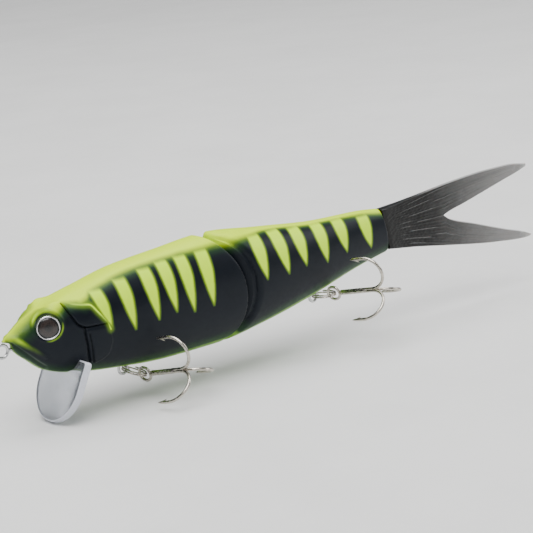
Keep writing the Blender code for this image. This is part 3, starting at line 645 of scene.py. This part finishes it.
def head_relief(x, y, z):
    """Height in millimetres of the gill plates, grooves, mouth and eye socket, and painted crease shade 0
    to 1.
    """
    height = np.zeros(x.shape)
    crease_shade = np.zeros(x.shape)
    head = (x < 40) & (np.abs(y) > 0.4)
    hx, hy, hz = x[head], y[head], z[head]
    upper = [(20.0, 12.9)] + rounded(GILL_DIAGONAL) + rounded(GILL_LEVEL)[1:] + rounded(PANEL_TOP)[::-1]
    lower = (rounded(GILL_UPRIGHT) + rounded(PLATE_LOW)[::-1]
             + [(33.9, 1.5), (32.9, 3.3), (28.9, 3.3), (25.6, 3.4)])
    lift = 0.42 * smooth(inside_depth(hx, hz, upper), -0.15, 0.75)
    lift += 0.34 * smooth(inside_depth(hx, hz, lower), -0.15, 0.75)
    # Painted shade follows each groove, the mouth and the socket's recess
    fold_shade = np.zeros(hx.shape)
    for line, depth, width in ((GILL_DIAGONAL, 0.55, 0.26), (GILL_LEVEL, 0.45, 0.22),
                               (GILL_UPRIGHT, 0.60, 0.34), (GILL_SECOND, 0.50, 0.30)):
        cut = bell(line_distance(hx, hz, rounded(line)), width)
        lift -= depth * cut
        fold_shade = np.maximum(fold_shade, cut * min(1.0, depth / 0.5))
    mouth = bell(line_distance(hx, hz, rounded(MOUTH_GROOVE)), 0.55)
    lift -= 0.45 * mouth
    fold_shade = np.maximum(fold_shade, 0.7 * mouth)
    lift += 0.40 * bell(line_distance(hx, hz, rounded(MOUTH_RIDGE)), 0.85)
    socket, angle = socket_distance(hx, hy, hz)
    above = smooth(np.sin(angle), -0.6, 0.8)
    lift += (0.22 + 0.40 * above) * bell(socket - SOCKET_RADIUS - 0.25 * above, 0.62)
    lift -= 0.30 * above * bell(socket - SOCKET_RADIUS + 0.85, 0.4)
    # Painted shade in the socket's recess under the brow
    fold_shade = np.maximum(fold_shade, 0.95 * above * bell(socket - SOCKET_RADIUS + 0.75, 0.45))
    height[head] = lift
    crease_shade[head] = fold_shade
    return height, crease_shade


def socket_distance(x, y, z):
    """Distance from the axis of the eye socket, which sits a little above the eye, and the angle."""
    axis = eye_axis(1)
    offset = np.stack([x - EYE_CENTRE[0], np.abs(y) - EYE_CENTRE[1], z - EYE_CENTRE[2] - SOCKET_RISE], -1)
    flat = offset - (offset @ axis)[:, None] * axis
    ahead = np.cross(axis, (0, 0, 1))
    return np.linalg.norm(flat, axis=1), np.arctan2(flat[:, 2], flat @ ahead)


def eye_centre(side):
    return np.array((EYE_CENTRE[0], side * EYE_CENTRE[1], EYE_CENTRE[2]))


def eye_axis(side):
    forward = math.radians(EYE_FORWARD_DEG)
    up = math.radians(EYE_UP_DEG)
    return unit((-math.sin(forward), side * math.cos(forward), math.sin(up)))


def skin_solid(name, stations, around, shape):
    """A closed body section; shape gives each point's outward offset from x, y and z."""
    angle = 2 * math.pi * (np.arange(around) + 0.5) / around
    x = np.repeat(np.asarray(stations, float)[:, None], around, axis=1)
    y, z = skin(x, angle[None, :])
    points = np.stack([x, y, z], -1)
    ahead = np.gradient(points, axis=0)
    round_about = np.roll(points, -1, 1) - np.roll(points, 1, 1)
    normal = np.cross(ahead, round_about)
    normal /= np.linalg.norm(normal, axis=2)[..., None] + 1e-12
    flip = np.sign((normal * (points - np.stack([x, 0 * y, widest_at(x)], -1))).sum(-1).mean())
    points = points + normal * flip * (shape(x, y, z) - SKIN_INSET)[..., None]
    return loft(name, points)


def edge_round(depth, radius):
    """Inset that rounds an edge, from the depth inside it."""
    t = np.clip(1 - depth / radius, 0, 1)
    return radius * (1 - np.sqrt(1 - t * t))


def section_paint(target):
    """Stores what the paint needs to know at each point."""
    x, y, z = points_of(target).T
    from_back, from_belly = arc_lengths(x, y, z)
    store(target, "back_depth", (back_edge_at(x) - from_back) / paint_softness_at(x))
    store(target, "belly_depth", belly_edge_at(x) - from_belly)
    stripe = np.full(x.shape, -FAR)
    left, right = curve(CLAW_LEFT), curve(CLAW_RIGHT)
    for top_x, top_z, tip_x, tip_z, width in STRIPES:
        share = np.clip((top_z - z) / (top_z - tip_z), -1, 1.4)
        axis = top_x + (tip_x - top_x) * share
        depth = np.minimum(x - axis + width * left(share), axis + width * right(share) - x)
        depth = np.minimum(depth, (top_z + 0.6 - z) * 0.6)
        stripe = np.maximum(stripe, np.minimum(depth, z - tip_z + 0.3))
    store(target, "stripe_depth", stripe)
    # Painted shade for the head's grooves, mouth and eye socket recess
    _, crease_shade = head_relief(x, y, z)
    store(target, "crease_shade", crease_shade)
    # Painted highlights along the gill panel's top edge, on the mouth ridge and on the eye socket's rim
    top_line = line_distance(x, z, rounded(PANEL_TOP))
    light = np.maximum(0.9 * bell(top_line, 0.42), 0.42 * bell(top_line, 1.5))
    ridge = bell(line_distance(x, z, rounded(MOUTH_RIDGE)), 1.0)
    ridge *= (0.88 - 0.66 * smooth(x, 2.5, 9.0)) * (1 - 0.7 * smooth(x, 9.0, 12.6))
    light = np.maximum(light, ridge)
    light = np.where((x < 36) & (np.abs(y) > 0.5), light, 0)
    socket, angle = socket_distance(x, y, z)
    upper_socket_highlight = 0.95 * smooth(np.sin(angle), -0.1, 0.7) * bell(socket - 5.2, 0.8)
    upper_socket_highlight = upper_socket_highlight * (1 - 0.85 * smooth(np.cos(angle), 0.25, 0.75))
    lower_socket_highlight = 0.52 * smooth(np.cos(angle + 0.8), 0.35, 0.85) * bell(socket - SOCKET_RADIUS, 0.36)
    store(target, "painted_rim_highlight", np.maximum(light, np.maximum(upper_socket_highlight, lower_socket_highlight)))


def notch_outline():
    seat = arc((HINGE_X, 0), NOTCH_RADIUS, NOTCH_TANGENT_DEG, 360 - NOTCH_TANGENT_DEG, 48)
    lip_x, lip_y = NOTCH_LIP
    last_x, last_y = seat[0]
    slope = (lip_y - last_y) / (lip_x - last_x)
    far_x = HINGE_X + 2 * NOTCH_RADIUS
    far_y = lip_y + slope * (far_x - lip_x)
    return seat + [(far_x, -far_y), (far_x, far_y)]


def wedge_outline():
    reach = 14.0
    nose = arc((HINGE_X, 0), WEDGE_RADIUS, WEDGE_TANGENT_DEG, 360 - WEDGE_TANGENT_DEG, 48)
    angle = math.radians(WEDGE_TANGENT_DEG - 90)
    out_x = nose[0][0] + reach * math.cos(angle)
    out_y = nose[0][1] + reach * math.sin(angle)
    far_x = BODY_END + 10
    return nose + [(out_x, -out_y), (far_x, -out_y), (far_x, out_y), (out_x, out_y)]


def lip_frame():
    """The middle of the lip's shoulder, and the directions across, down and back from it."""
    lean = math.radians(LIP_LEAN_DEG)
    return (np.array((LIP_SHOULDER[0], 0, LIP_SHOULDER[1])), np.array((0.0, 1.0, 0.0)),
            np.array((-math.sin(lean), 0, -math.cos(lean))), np.array((math.cos(lean), 0, -math.sin(lean))))


def plate(name, outline, front, rear):
    origin, across, down, back = lip_frame()
    return loft(name, [[origin + across * u + down * v + back * t for u, v in outline]
                       for t in (front, rear)])


def hanger_cut(which):
    x, low, feet = HANGERS[which]
    reach = HANGER_ARC + HANGER_WIRE + 0.25
    half = HANGER_WIRE + 0.2
    outline = ((x - reach, -half), (x + reach, -half), (x + reach, half), (x - reach, half))
    return prism("cut_hanger_" + which, outline, "z", low - 4, feet - HANGER_WIRE - 1.2)


def give_materials(target, *finishes):
    target.data.materials.clear()
    for finish in finishes:
        target.data.materials.append(finish)


def finish_section(body, which, paint, inner, steps):
    """Cuts a body section. Its skin has the paint, and the faces that the cuts make the inner finish."""
    give_materials(body, paint, inner)
    for _, cut in steps:
        give_materials(cut, paint, inner)
        for face in cut.data.polygons:
            face.material_index = 1
    combine(body, steps)
    give_materials(body, paint, inner)
    section_paint(body)
    shade(body)
    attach(body, which + "_section")
    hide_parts(which + "_shell_left", which + "_shell_right")


def make_front(paint, inner):
    head = np.arange(0.6, 38.0, 0.21)
    rest = np.arange(38.0, 90.0, 0.36)

    def shape(x, y, z):
        relief, _ = head_relief(x, y, z)
        depth = RIM_RADIUS - np.hypot(x - RIM_CENTRE[0], z - RIM_CENTRE[1])
        depth = np.where(x > RIM_CENTRE[0], depth, FAR)
        return relief * smooth(x, 0.8, 2.2) - edge_round(np.clip(depth, 0, FAR), 0.7)

    body = skin_solid("front_body", np.concatenate([head, rest]), 360, shape)
    x = RIM_CENTRE[0]
    rim = arc(RIM_CENTRE, RIM_RADIUS, -90, 90, 96)
    room = TONGUE[0] + 0.1
    slot = [(-room, -TONGUE[1] - 0.1), (room, -TONGUE[1] - 0.1), (room, -LIP_ROOM), (20, -LIP_ROOM),
            (20, 20), (-20, 20), (-20, -LIP_ROOM), (-room, -LIP_ROOM)]
    steps = [("INTERSECT", prism("cut_rim", [(-10, -WAY), (x, -WAY)] + rim + [(x, WAY), (-10, WAY)], "y")),
             ("DIFFERENCE", prism("cut_notch", notch_outline(), "z")),
             ("DIFFERENCE", plate("cut_lip", slot, -LIP_ROOM, LIP_THICKNESS + LIP_ROOM)),
             ("DIFFERENCE", hanger_cut("front")),
             ("DIFFERENCE", rod("cut_tie", (-2, 0, 0), (TIE_STEM_END + 0.2, 0, 0), TIE_WIRE + 0.12))]
    for side in (-1, 1):
        centre, axis = eye_centre(side), eye_axis(side)
        steps.append(("DIFFERENCE", rod(f"cut_eye_{side}", centre - axis * 2.1, centre + axis * 5,
                                        EYE_RING_OUTER + 0.05, 72)))
    finish_section(body, "front", paint, inner, steps)


def make_rear(paint, inner):
    stations = np.concatenate([np.arange(79.0, 102.0, 0.32), np.arange(102.0, 156.2, 0.5),
                               156.2 + 1.4 * np.sin(np.linspace(0, math.pi / 2, 12))])
    tangent = math.radians(WEDGE_TANGENT_DEG)
    normal = np.array((math.cos(tangent), math.sin(tangent)))

    def shape(x, y, z):
        flank = WEDGE_RADIUS - ((x - HINGE_X) * normal[0] + np.abs(y) * normal[1])
        nose = WEDGE_RADIUS - np.hypot(x - HINGE_X, y)
        ahead = (x - HINGE_X) * math.cos(tangent) + np.abs(y) * math.sin(tangent)
        along = -(x - HINGE_X) * math.sin(tangent) + np.abs(y) * math.cos(tangent)
        depth = np.where((along > 0) & (ahead > 0), nose, flank)
        end = edge_round(BODY_END + 0.02 - x, 1.3)
        return -edge_round(np.clip(depth, 0, FAR), 1.5) - end * 0.55

    body = skin_solid("rear_body", stations, 300, shape)
    co = points_of(body)
    x, z = co[:, 0], co[:, 2]
    co[:, 0] += END_LEAN * (TAIL_MIDDLE_Z - z) * np.maximum(0, (x - LEAN_START) / (BODY_END - LEAN_START))
    body.data.vertices.foreach_set("co", (co * MM).astype(np.float32).ravel())
    steps = [("INTERSECT", prism("cut_wedge", wedge_outline(), "z")), ("DIFFERENCE", hanger_cut("rear"))]
    for k, height in enumerate(HINGE_EYES):
        back = arc((HINGE_X, 0), 3.1, -108, 108, 40)
        front_x = HINGE_X - WEDGE_RADIUS - 3
        rise = (back[-1][0] - front_x) * math.tan(math.radians(18))
        outline = back + [(front_x, back[-1][1] + rise), (front_x, -back[-1][1] - rise)]
        steps.append(("DIFFERENCE", prism(f"cut_eye_slot_{k}", outline, "z", height - 0.95, height + 0.95)))
    finish_section(body, "rear", paint, inner, steps)


# ---------------- fittings

def dress(made, finish, body, nodes, sharp_deg=35):
    """Finish, smooth shading, body and the CAD nodes that a piece stands for."""
    give_materials(made, finish)
    shade(made, sharp_deg)
    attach(made, body)
    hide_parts(*nodes)


def make_eyes(rim_finish, resin):
    middle = (EYE_RING_OUTER + EYE_RING_INNER + EYE_RING_CHAMFER) / 2
    half = (EYE_RING_OUTER - EYE_RING_INNER - EYE_RING_CHAMFER) / 2
    crown = [(middle + half * math.cos(a), 0.10 + 0.30 * math.sin(a)) for a in np.linspace(0, math.pi, 17)]
    wide = EYE_RING_INNER + 0.27
    dome = [(wide, -EYE_SEAT), (wide, 0.0)]
    dome += [(wide * math.cos(a), EYE_DOME * math.sin(a))
             for a in np.linspace(0.04, math.pi / 2 - 0.02, 26)]
    for hand, side in (("left", -1), ("right", 1)):
        centre, axis = eye_centre(side), eye_axis(side)
        rim = turned("eye_ring_" + hand + "_turned",
                     [(EYE_RING_INNER, -EYE_SEAT), (EYE_RING_OUTER, -EYE_SEAT)] + crown, centre, axis)
        dress(rim, rim_finish, "front_section", ["eye_ring_" + hand])
        lens = turned("eye_lens_" + hand + "_domed", dome, centre, axis, closed=False)
        offset = points_of(lens) - centre
        flat = offset - (offset @ axis)[:, None] * axis
        around = np.arctan2(flat[:, 2], flat @ np.cross(axis, (0, 0, 1)))
        store(lens, "reach", np.linalg.norm(flat, axis=1) / LENS_RADIUS)
        store(lens, "fibre", 0.5 + 0.3 * np.sin(around * 23) + 0.2 * np.sin(around * 37 + 1.3))
        dress(lens, resin, "front_section", ["eye_lens_" + hand])


def make_line_tie(finish):
    loop = [(x, 0, z) for x, z in arc((0, 0), TIE_RADIUS, 0, 360, 72)[:-1]]
    tie = sweep("line_tie_wire", loop, TIE_WIRE, (0, 1, 0), 24, closed=True)
    stem = rod("tie_stem", (TIE_RADIUS - 0.05, 0, 0), (TIE_STEM_END, 0, 0), TIE_WIRE * 0.98, 24)
    combine(tie, [("UNION", stem)])
    dress(tie, finish, "front_section", ["line_tie"])


def make_lip(finish):
    depth = LIP_LENGTH - LIP_STRAIGHT
    inset = LIP_HALF_WIDTH - LIP_CORNER
    corner = arc((inset, LIP_CORNER), LIP_CORNER, math.degrees(0.2) - 90, 0, 6)
    shoulder = [(TONGUE[0], 0), (inset, 0)] + corner
    outline = [(-TONGUE[0], -TONGUE[1]), (TONGUE[0], -TONGUE[1])] + shoulder
    outline += [(LIP_HALF_WIDTH * math.cos(a), LIP_STRAIGHT + depth * math.sin(a))
                for a in np.linspace(0, math.pi, 97)]
    outline += [(-u, v) for u, v in reversed(shoulder)]
    lip = plate("lip_plate", outline, 0, LIP_THICKNESS)
    bevel = lip.modifiers.new("edges", "BEVEL")
    bevel.width = 0.6 * MM
    bevel.segments = 4
    bevel.limit_method = "ANGLE"
    bevel.angle_limit = math.radians(40)
    settle(lip)
    origin, _, _, back = lip_frame()
    t = (points_of(lip) - origin) @ back
    # Marks the lip's edge faces, which carry a painted highlight
    store(lip, "edge", (t > 0.02) & (t < LIP_THICKNESS - 0.02))
    dress(lip, finish, "front_section", ["diving_lip"], 30)


def make_hanger(which, finish, body):
    x, low, feet = HANGERS[which]
    turn = 1.2
    knee = x - HANGER_ARC - turn
    left = [(knee - 2.2, feet)] + arc((knee, feet - turn), turn, 90, 0, 12)
    loop = arc((x, low), HANGER_ARC, 180, 360, 36)
    right = [(2 * x - px, pz) for px, pz in reversed(left)]
    path = [(px, 0, pz) for px, pz in left + loop + right]
    made = sweep(which + "_hanger_wire", path, HANGER_WIRE, (0, 1, 0), 20)
    dress(made, finish, body, [which + "_hook_hanger"])


def ring_frame(which):
    x, low, _ = HANGERS[which]
    direction = unit(RING_DIRECTION[which])
    tangent = np.array(RING_TANGENT)
    tangent = unit(tangent - direction * (tangent @ direction))
    return np.array((x, 0, low + RING_SEAT)), direction, tangent, np.cross(direction, tangent)


def make_split_ring(which, finish):
    start, direction, tangent, normal = ring_frame(which)
    centre = start + direction * RING_RADIUS
    turns = 1.94
    share = np.linspace(-0.5, 0.5, 241)
    angle = math.pi / 2 + 2 * math.pi * turns * share
    lift = RING_TURN_PITCH * turns * share
    path = (centre + np.outer(np.cos(angle), direction) * RING_RADIUS
            + np.outer(np.sin(angle), tangent) * RING_RADIUS + np.outer(lift, normal))
    ends = np.clip((0.5 - np.abs(share)) / 0.006, 0, 1)
    radius = RING_RADIAL * (0.55 + 0.45 * np.sqrt(1 - (1 - ends) ** 2))
    made = sweep(which + "_ring_coil", path, radius, normal, 24, flat=RING_AXIAL / RING_RADIAL)
    dress(made, finish, which + "_ring", [which + "_split_ring"])


def hook_frame(which):
    start, direction, _, _ = ring_frame(which)
    eye = start + direction * (2 * RING_RADIUS + RING_TO_EYE)
    yaw, rise, roll = (math.radians(a) for a in HOOK_POSE[which])
    shank = np.array((math.cos(yaw) * math.cos(rise), -math.sin(yaw) * math.cos(rise), math.sin(rise)))
    side = unit(np.cross(shank, (0, 0, 1)))
    up = np.cross(side, shank)
    bends = []
    for k in range(3):
        a = roll + 2 * math.pi * k / 3
        bends.append(up * math.cos(a) + side * math.sin(a))
    return eye, shank, bends


def make_treble(which, finish):
    eye, shank, bends = hook_frame(which)
    plane = bends[0]
    turn = np.linspace(0, 2 * math.pi, 61)[:-1]
    loop = (eye + np.outer(np.cos(turn), shank) * HOOK_EYE_RADIUS
            + np.outer(np.sin(turn), plane) * HOOK_EYE_RADIUS)
    side = np.cross(shank, plane)
    hook = sweep(which + "_treble_wires", loop, HOOK_EYE_WIRE, side, 20, closed=True)
    steps = []
    # Three wires lie side by side along the shank, brazed together
    along = np.concatenate([[HOOK_EYE_RADIUS - 0.25, HOOK_EYE_RADIUS + 0.25],
                            np.linspace(HOOK_EYE_RADIUS + 0.9, SHANK_LENGTH - 4.0, 12),
                            [SHANK_LENGTH - 3.0, SHANK_LENGTH - 2.2]])
    widths = np.concatenate([[0.42, 0.72], np.full(12, 1.0), [0.92, 0.45]])
    core = eye + np.outer(along, shank)

    def three_wires(a):
        return 0.83 + 0.13 * np.abs(np.cos(1.5 * (a - math.pi / 2))) ** 0.8

    steps.append(("UNION", sweep(which + "_core", core, widths, plane, 48, lobes=three_wires)))
    for k, out in enumerate(bends):
        inner = 0.42
        straight = np.linspace(SHANK_LENGTH - 8.0, SHANK_LENGTH - 0.8, 6)
        a = np.linspace(0, math.pi, 45)
        back = np.array((0.2, 0.4, 0.6, 0.8, 0.9, 1.0)) * POINT_SETBACK
        along = np.concatenate([straight, SHANK_LENGTH + BEND_DEPTH * np.sin(a), SHANK_LENGTH - back])
        gape = GAPE - GAPE_INSET
        away = np.concatenate([np.full(6, inner), inner + (gape - inner) * (1 - np.cos(a)) / 2,
                               np.full(6, gape)])
        path = eye + np.outer(along, shank) + np.outer(away, out)
        wire = np.full(len(path) - len(POINT_TAPER), HOOK_WIRE - WIRE_INSET)
        radius = np.concatenate([wire, POINT_TAPER])
        steps.append(("UNION", sweep(f"{which}_bend_{k}", path, radius, np.cross(shank, out), 20)))
        root = eye + shank * (SHANK_LENGTH - POINT_SETBACK * 0.62) + out * (gape - 0.12)
        tip = root + shank * 1.7 - out * 1.12
        barb = np.linspace(0, 1, 7)[:, None]
        steps.append(("UNION", sweep(f"{which}_barb_{k}", root + (tip - root) * barb,
                                     np.array((0.44, 0.42, 0.38, 0.31, 0.23, 0.13, 0.03)),
                                     np.cross(shank, out), 14, flat=0.55)))
    combine(hook, steps)
    dress(hook, finish, which + "_hook", [which + "_treble_hook"], 40)


# ---------------- tail

def tail_rays(x, z, v):
    """Fin rays that fan out from the root and follow the lobes; height 0 to 1."""
    spread = v * (8.4 + 2.2 * (1 - smooth(x, TAIL_ROOT - 10, TAIL_FORK[0] + 4)))
    lanes = spread + 0.05 * np.sin(x * 0.19 + z * 0.11) + 0.35 * v * v
    lane = np.round(lanes)
    ridge = bell(lanes - lane, 0.16)
    patchy = np.sin(x * 0.11 + lane * 2.4) + 0.35 * np.sin(x * 0.37 + lane * 4.1)
    patchy = 0.30 + 0.70 * smooth(patchy, -0.2, 0.9)
    strength = smooth(x, 160, 168) * (1 - 0.62 * smooth(x, 184, 200)) * (1 - 0.6 * smooth(x, 210, 226))
    return ridge * patchy * strength


def tail_pebbles(x, z):
    """Moulded mottling near the root; height -1 to 1."""
    waves = (np.sin(x * 3.1 + 1.7 * np.sin(z * 1.3)) * np.sin(z * 2.7 + 1.4 * np.sin(x * 0.9))
             + 0.6 * np.sin(x * 5.3 - z * 2.1) * np.sin(z * 4.9 + x * 1.1))
    return waves / 1.6 * (1 - smooth(x, 172, 190))


def tail_middle(x):
    """z of the line between the tail's upper and lower halves, as far as the fork."""
    share = (x - TAIL_ROOT) / (TAIL_FORK[0] - TAIL_ROOT)
    return TAIL_MIDDLE_Z + (TAIL_FORK[1] - TAIL_MIDDLE_Z) * np.minimum(share, 1)


def make_tail(finish):
    upper, lower, upper_inner, lower_inner = (
        curve(knots) for knots in (TAIL_UPPER, TAIL_LOWER, TAIL_UPPER_INNER, TAIL_LOWER_INNER))
    fork_x, fork_z = TAIL_FORK
    first = np.linspace(TAIL_ROOT - TAIL_CLOSE, fork_x, 64)
    rows = 64
    v = np.linspace(0, 1, rows + 1) ** 0.92
    verts, faces = [], []
    for outer, inner, tip_x in ((upper, upper_inner, TAIL_UPPER[-1][0]),
                                (lower, lower_inner, TAIL_LOWER[-1][0])):
        x = np.concatenate([first, np.linspace(fork_x, tip_x, 100)[1:]])
        inside = np.where(x <= fork_x, tail_middle(x), inner(x))
        width = outer(x) - inside
        z = inside[:, None] + width[:, None] * v
        xx = np.repeat(x[:, None], rows + 1, axis=1)
        span = np.abs(width)[:, None]
        fork_gap = np.where(xx > fork_x, span * v, np.hypot(xx - fork_x, z - fork_z))
        gap = np.minimum(np.minimum(span * (1 - v), fork_gap), tip_x - xx)
        edge = np.sqrt(1 - (1 - np.clip(gap / 0.5, 0, 1)) ** 2)
        half = tail_thickness_at(xx) / 2
        relief = 0.22 * tail_rays(xx, z, v) + 0.10 * tail_pebbles(xx, z)
        root = 1 - 0.14 * (1 - smooth(xx, TAIL_ROOT, TAIL_ROOT + 0.8))
        half = (half + relief * smooth(gap, 0.2, 1.6)) * edge * root
        lean = np.maximum(0, (166.5 - xx) / 8.3)
        px = xx + END_LEAN * (TAIL_MIDDLE_Z - z) * lean
        count = len(x) * (rows + 1)
        for side in (-1, 1):
            base = len(verts)
            verts.extend(np.stack([px, side * half, z], -1).reshape(-1, 3).tolist())
            faces.extend(tuple(base + q for q in face)
                         for face in grid_faces(len(x), rows + 1, wrap_columns=False))
        low_base = len(verts) - 2 * count
        for j in range(rows):
            faces.append((low_base + j, low_base + j + 1, low_base + count + j + 1, low_base + count + j))
    tail = make_mesh("soft_tail", verts, faces)
    x, _, z = points_of(tail).T
    above = z > tail_middle(x)
    inside = np.where(x <= fork_x, tail_middle(x), np.where(above, upper_inner(x), lower_inner(x)))
    width = np.where(above, upper(x), lower(x)) - inside
    v = np.clip((z - inside) / np.where(np.abs(width) < 0.01, 0.01, width), 0, 1)
    streak = bell(v - 0.70, 0.10) * smooth(x, 186, 198) * (1 - smooth(x, 212, 222))
    lines = np.maximum(0, np.sin(v * 58 + 1.6 * np.sin(x * 0.06))) * (0.5 + 0.5 * np.sin(x * 0.23 + v * 19))
    store(tail, "reach", (x - TAIL_ROOT) / (TAIL_LOWER[-1][0] - TAIL_ROOT))
    store(tail, "ray", tail_rays(x, z, v))
    store(tail, "streak", streak * (z > fork_z))
    store(tail, "line", lines * smooth(x, 176, 192) * (1 - smooth(x, 214, 226)))
    rim = np.abs(width) * np.where(x > fork_x, np.minimum(v, 1 - v), 1 - v)
    store(tail, "thin", (1 - smooth(rim, 0.05, 0.5)) * smooth(x, 170, 190))
    tail.data.materials.append(finish)
    shade(tail, 60)
    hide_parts("tail_root", "tail_blade")
    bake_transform(tail)


# ---------------- surroundings

def make_room():
    floor_finish = plain_finish("pale_floor", (0.72, 0.72, 0.71), (0.76, 0.76, 0.75), 0.6, 60.0)
    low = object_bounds()[0].z
    floor = bpy.data.meshes.new("floor")
    corners = [(FLOOR_REACH * x, FLOOR_REACH * y, 0) for x, y in ((-1, -1), (1, -1), (1, 1), (-1, 1))]
    floor.from_pydata(corners, [], [(0, 1, 2, 3)])
    floor.materials.append(floor_finish)
    ground = bpy.data.objects.new("floor", floor)
    ground.location.z = low - 0.0002
    bpy.context.scene.collection.objects.link(ground)
    world = bpy.data.worlds.new("studio")
    world.use_nodes = True
    sockets = world.node_tree.nodes["Background"].inputs
    sockets["Color"].default_value = (0.80, 0.82, 0.86, 1)
    sockets["Strength"].default_value = 0.22
    bpy.context.scene.world = world
    target = Vector((0.115, 0, 0.003))
    for name, kind, place, size, power in (("key", "AREA", (-0.35, -0.55, 1.15), 0.8, 11.0),
                                           ("top", "AREA", (0.30, 0.35, 1.25), 1.1, 13.0),
                                           ("side", "AREA", (1.05, -0.35, 0.55), 0.6, 5.0),
                                           ("sky", "SUN", (-0.25, -0.35, 1.6), SKY_SPREAD, 2.4)):
        light = bpy.data.lights.new(name, kind)
        light.energy = power
        if kind == "AREA":
            light.shape = "SQUARE"
            light.size = size
        else:
            light.angle = size
        lamp = bpy.data.objects.new(name, light)
        lamp.location = place
        lamp.rotation_mode = "QUATERNION"
        lamp.rotation_quaternion = (target - Vector(place)).to_track_quat("-Z", "Y")
        bpy.context.scene.collection.objects.link(lamp)


def make_camera():
    data = bpy.data.cameras.new("camera")
    data.sensor_width = 36.0
    data.lens = CAMERA_LENS
    data.clip_start = 0.01
    data.clip_end = 20.0
    camera = bpy.data.objects.new("camera", data)
    camera.matrix_world = (Matrix.Translation(Vector(CAMERA_PLACE) * MM)
                           @ Matrix.Rotation(math.radians(CAMERA_YAW_DEG), 4, "Z")
                           @ Matrix.Rotation(math.radians(90 - CAMERA_PITCH_DEG), 4, "X")
                           @ Matrix.Rotation(math.radians(-CAMERA_ROLL_DEG), 4, "Z"))
    bpy.context.scene.collection.objects.link(camera)
    bpy.context.scene.camera = camera


def main():
    paint = paint_finish()
    inner = inner_finish()
    nickel = metal_finish("plated_nickel", (0.42, 0.39, 0.34), (0.60, 0.56, 0.49), 0.16, 0.30, 1)
    steel = metal_finish("drawn_steel", (0.52, 0.52, 0.53), (0.66, 0.66, 0.66), 0.20, 0.34, 11)
    silver = metal_finish("silvered_ring", (0.66, 0.66, 0.67), (0.82, 0.82, 0.82), 0.14, 0.26, 21)
    make_front(paint, inner)
    make_rear(paint, inner)
    make_eyes(silver, lens_finish())
    make_line_tie(steel)
    make_lip(clear_finish())
    for which, body in (("front", "front_section"), ("rear", "rear_section")):
        make_hanger(which, steel, body)
        make_split_ring(which, nickel)
        make_treble(which, nickel)
    make_tail(tail_finish())
    peg = plain_finish("peg_nylon", (0.66, 0.66, 0.62), (0.74, 0.73, 0.69), 0.45, 2.0)
    lead = plain_finish("cast_lead", (0.16, 0.16, 0.17), (0.26, 0.26, 0.28), 0.55, 1.5, 1.0)
    hinge = ("hinge_pin", "hinge_eye_upper", "hinge_eye_lower")
    for finish, slot, nodes in ((steel, "stainless_wire", hinge), (peg, "peg_plastic", ("tail_peg",)),
                                (lead, "lead", ("front_ballast", "rear_ballast"))):
        for node in nodes:
            give_materials(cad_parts[node], finish)
    make_room()
    make_camera()


main()
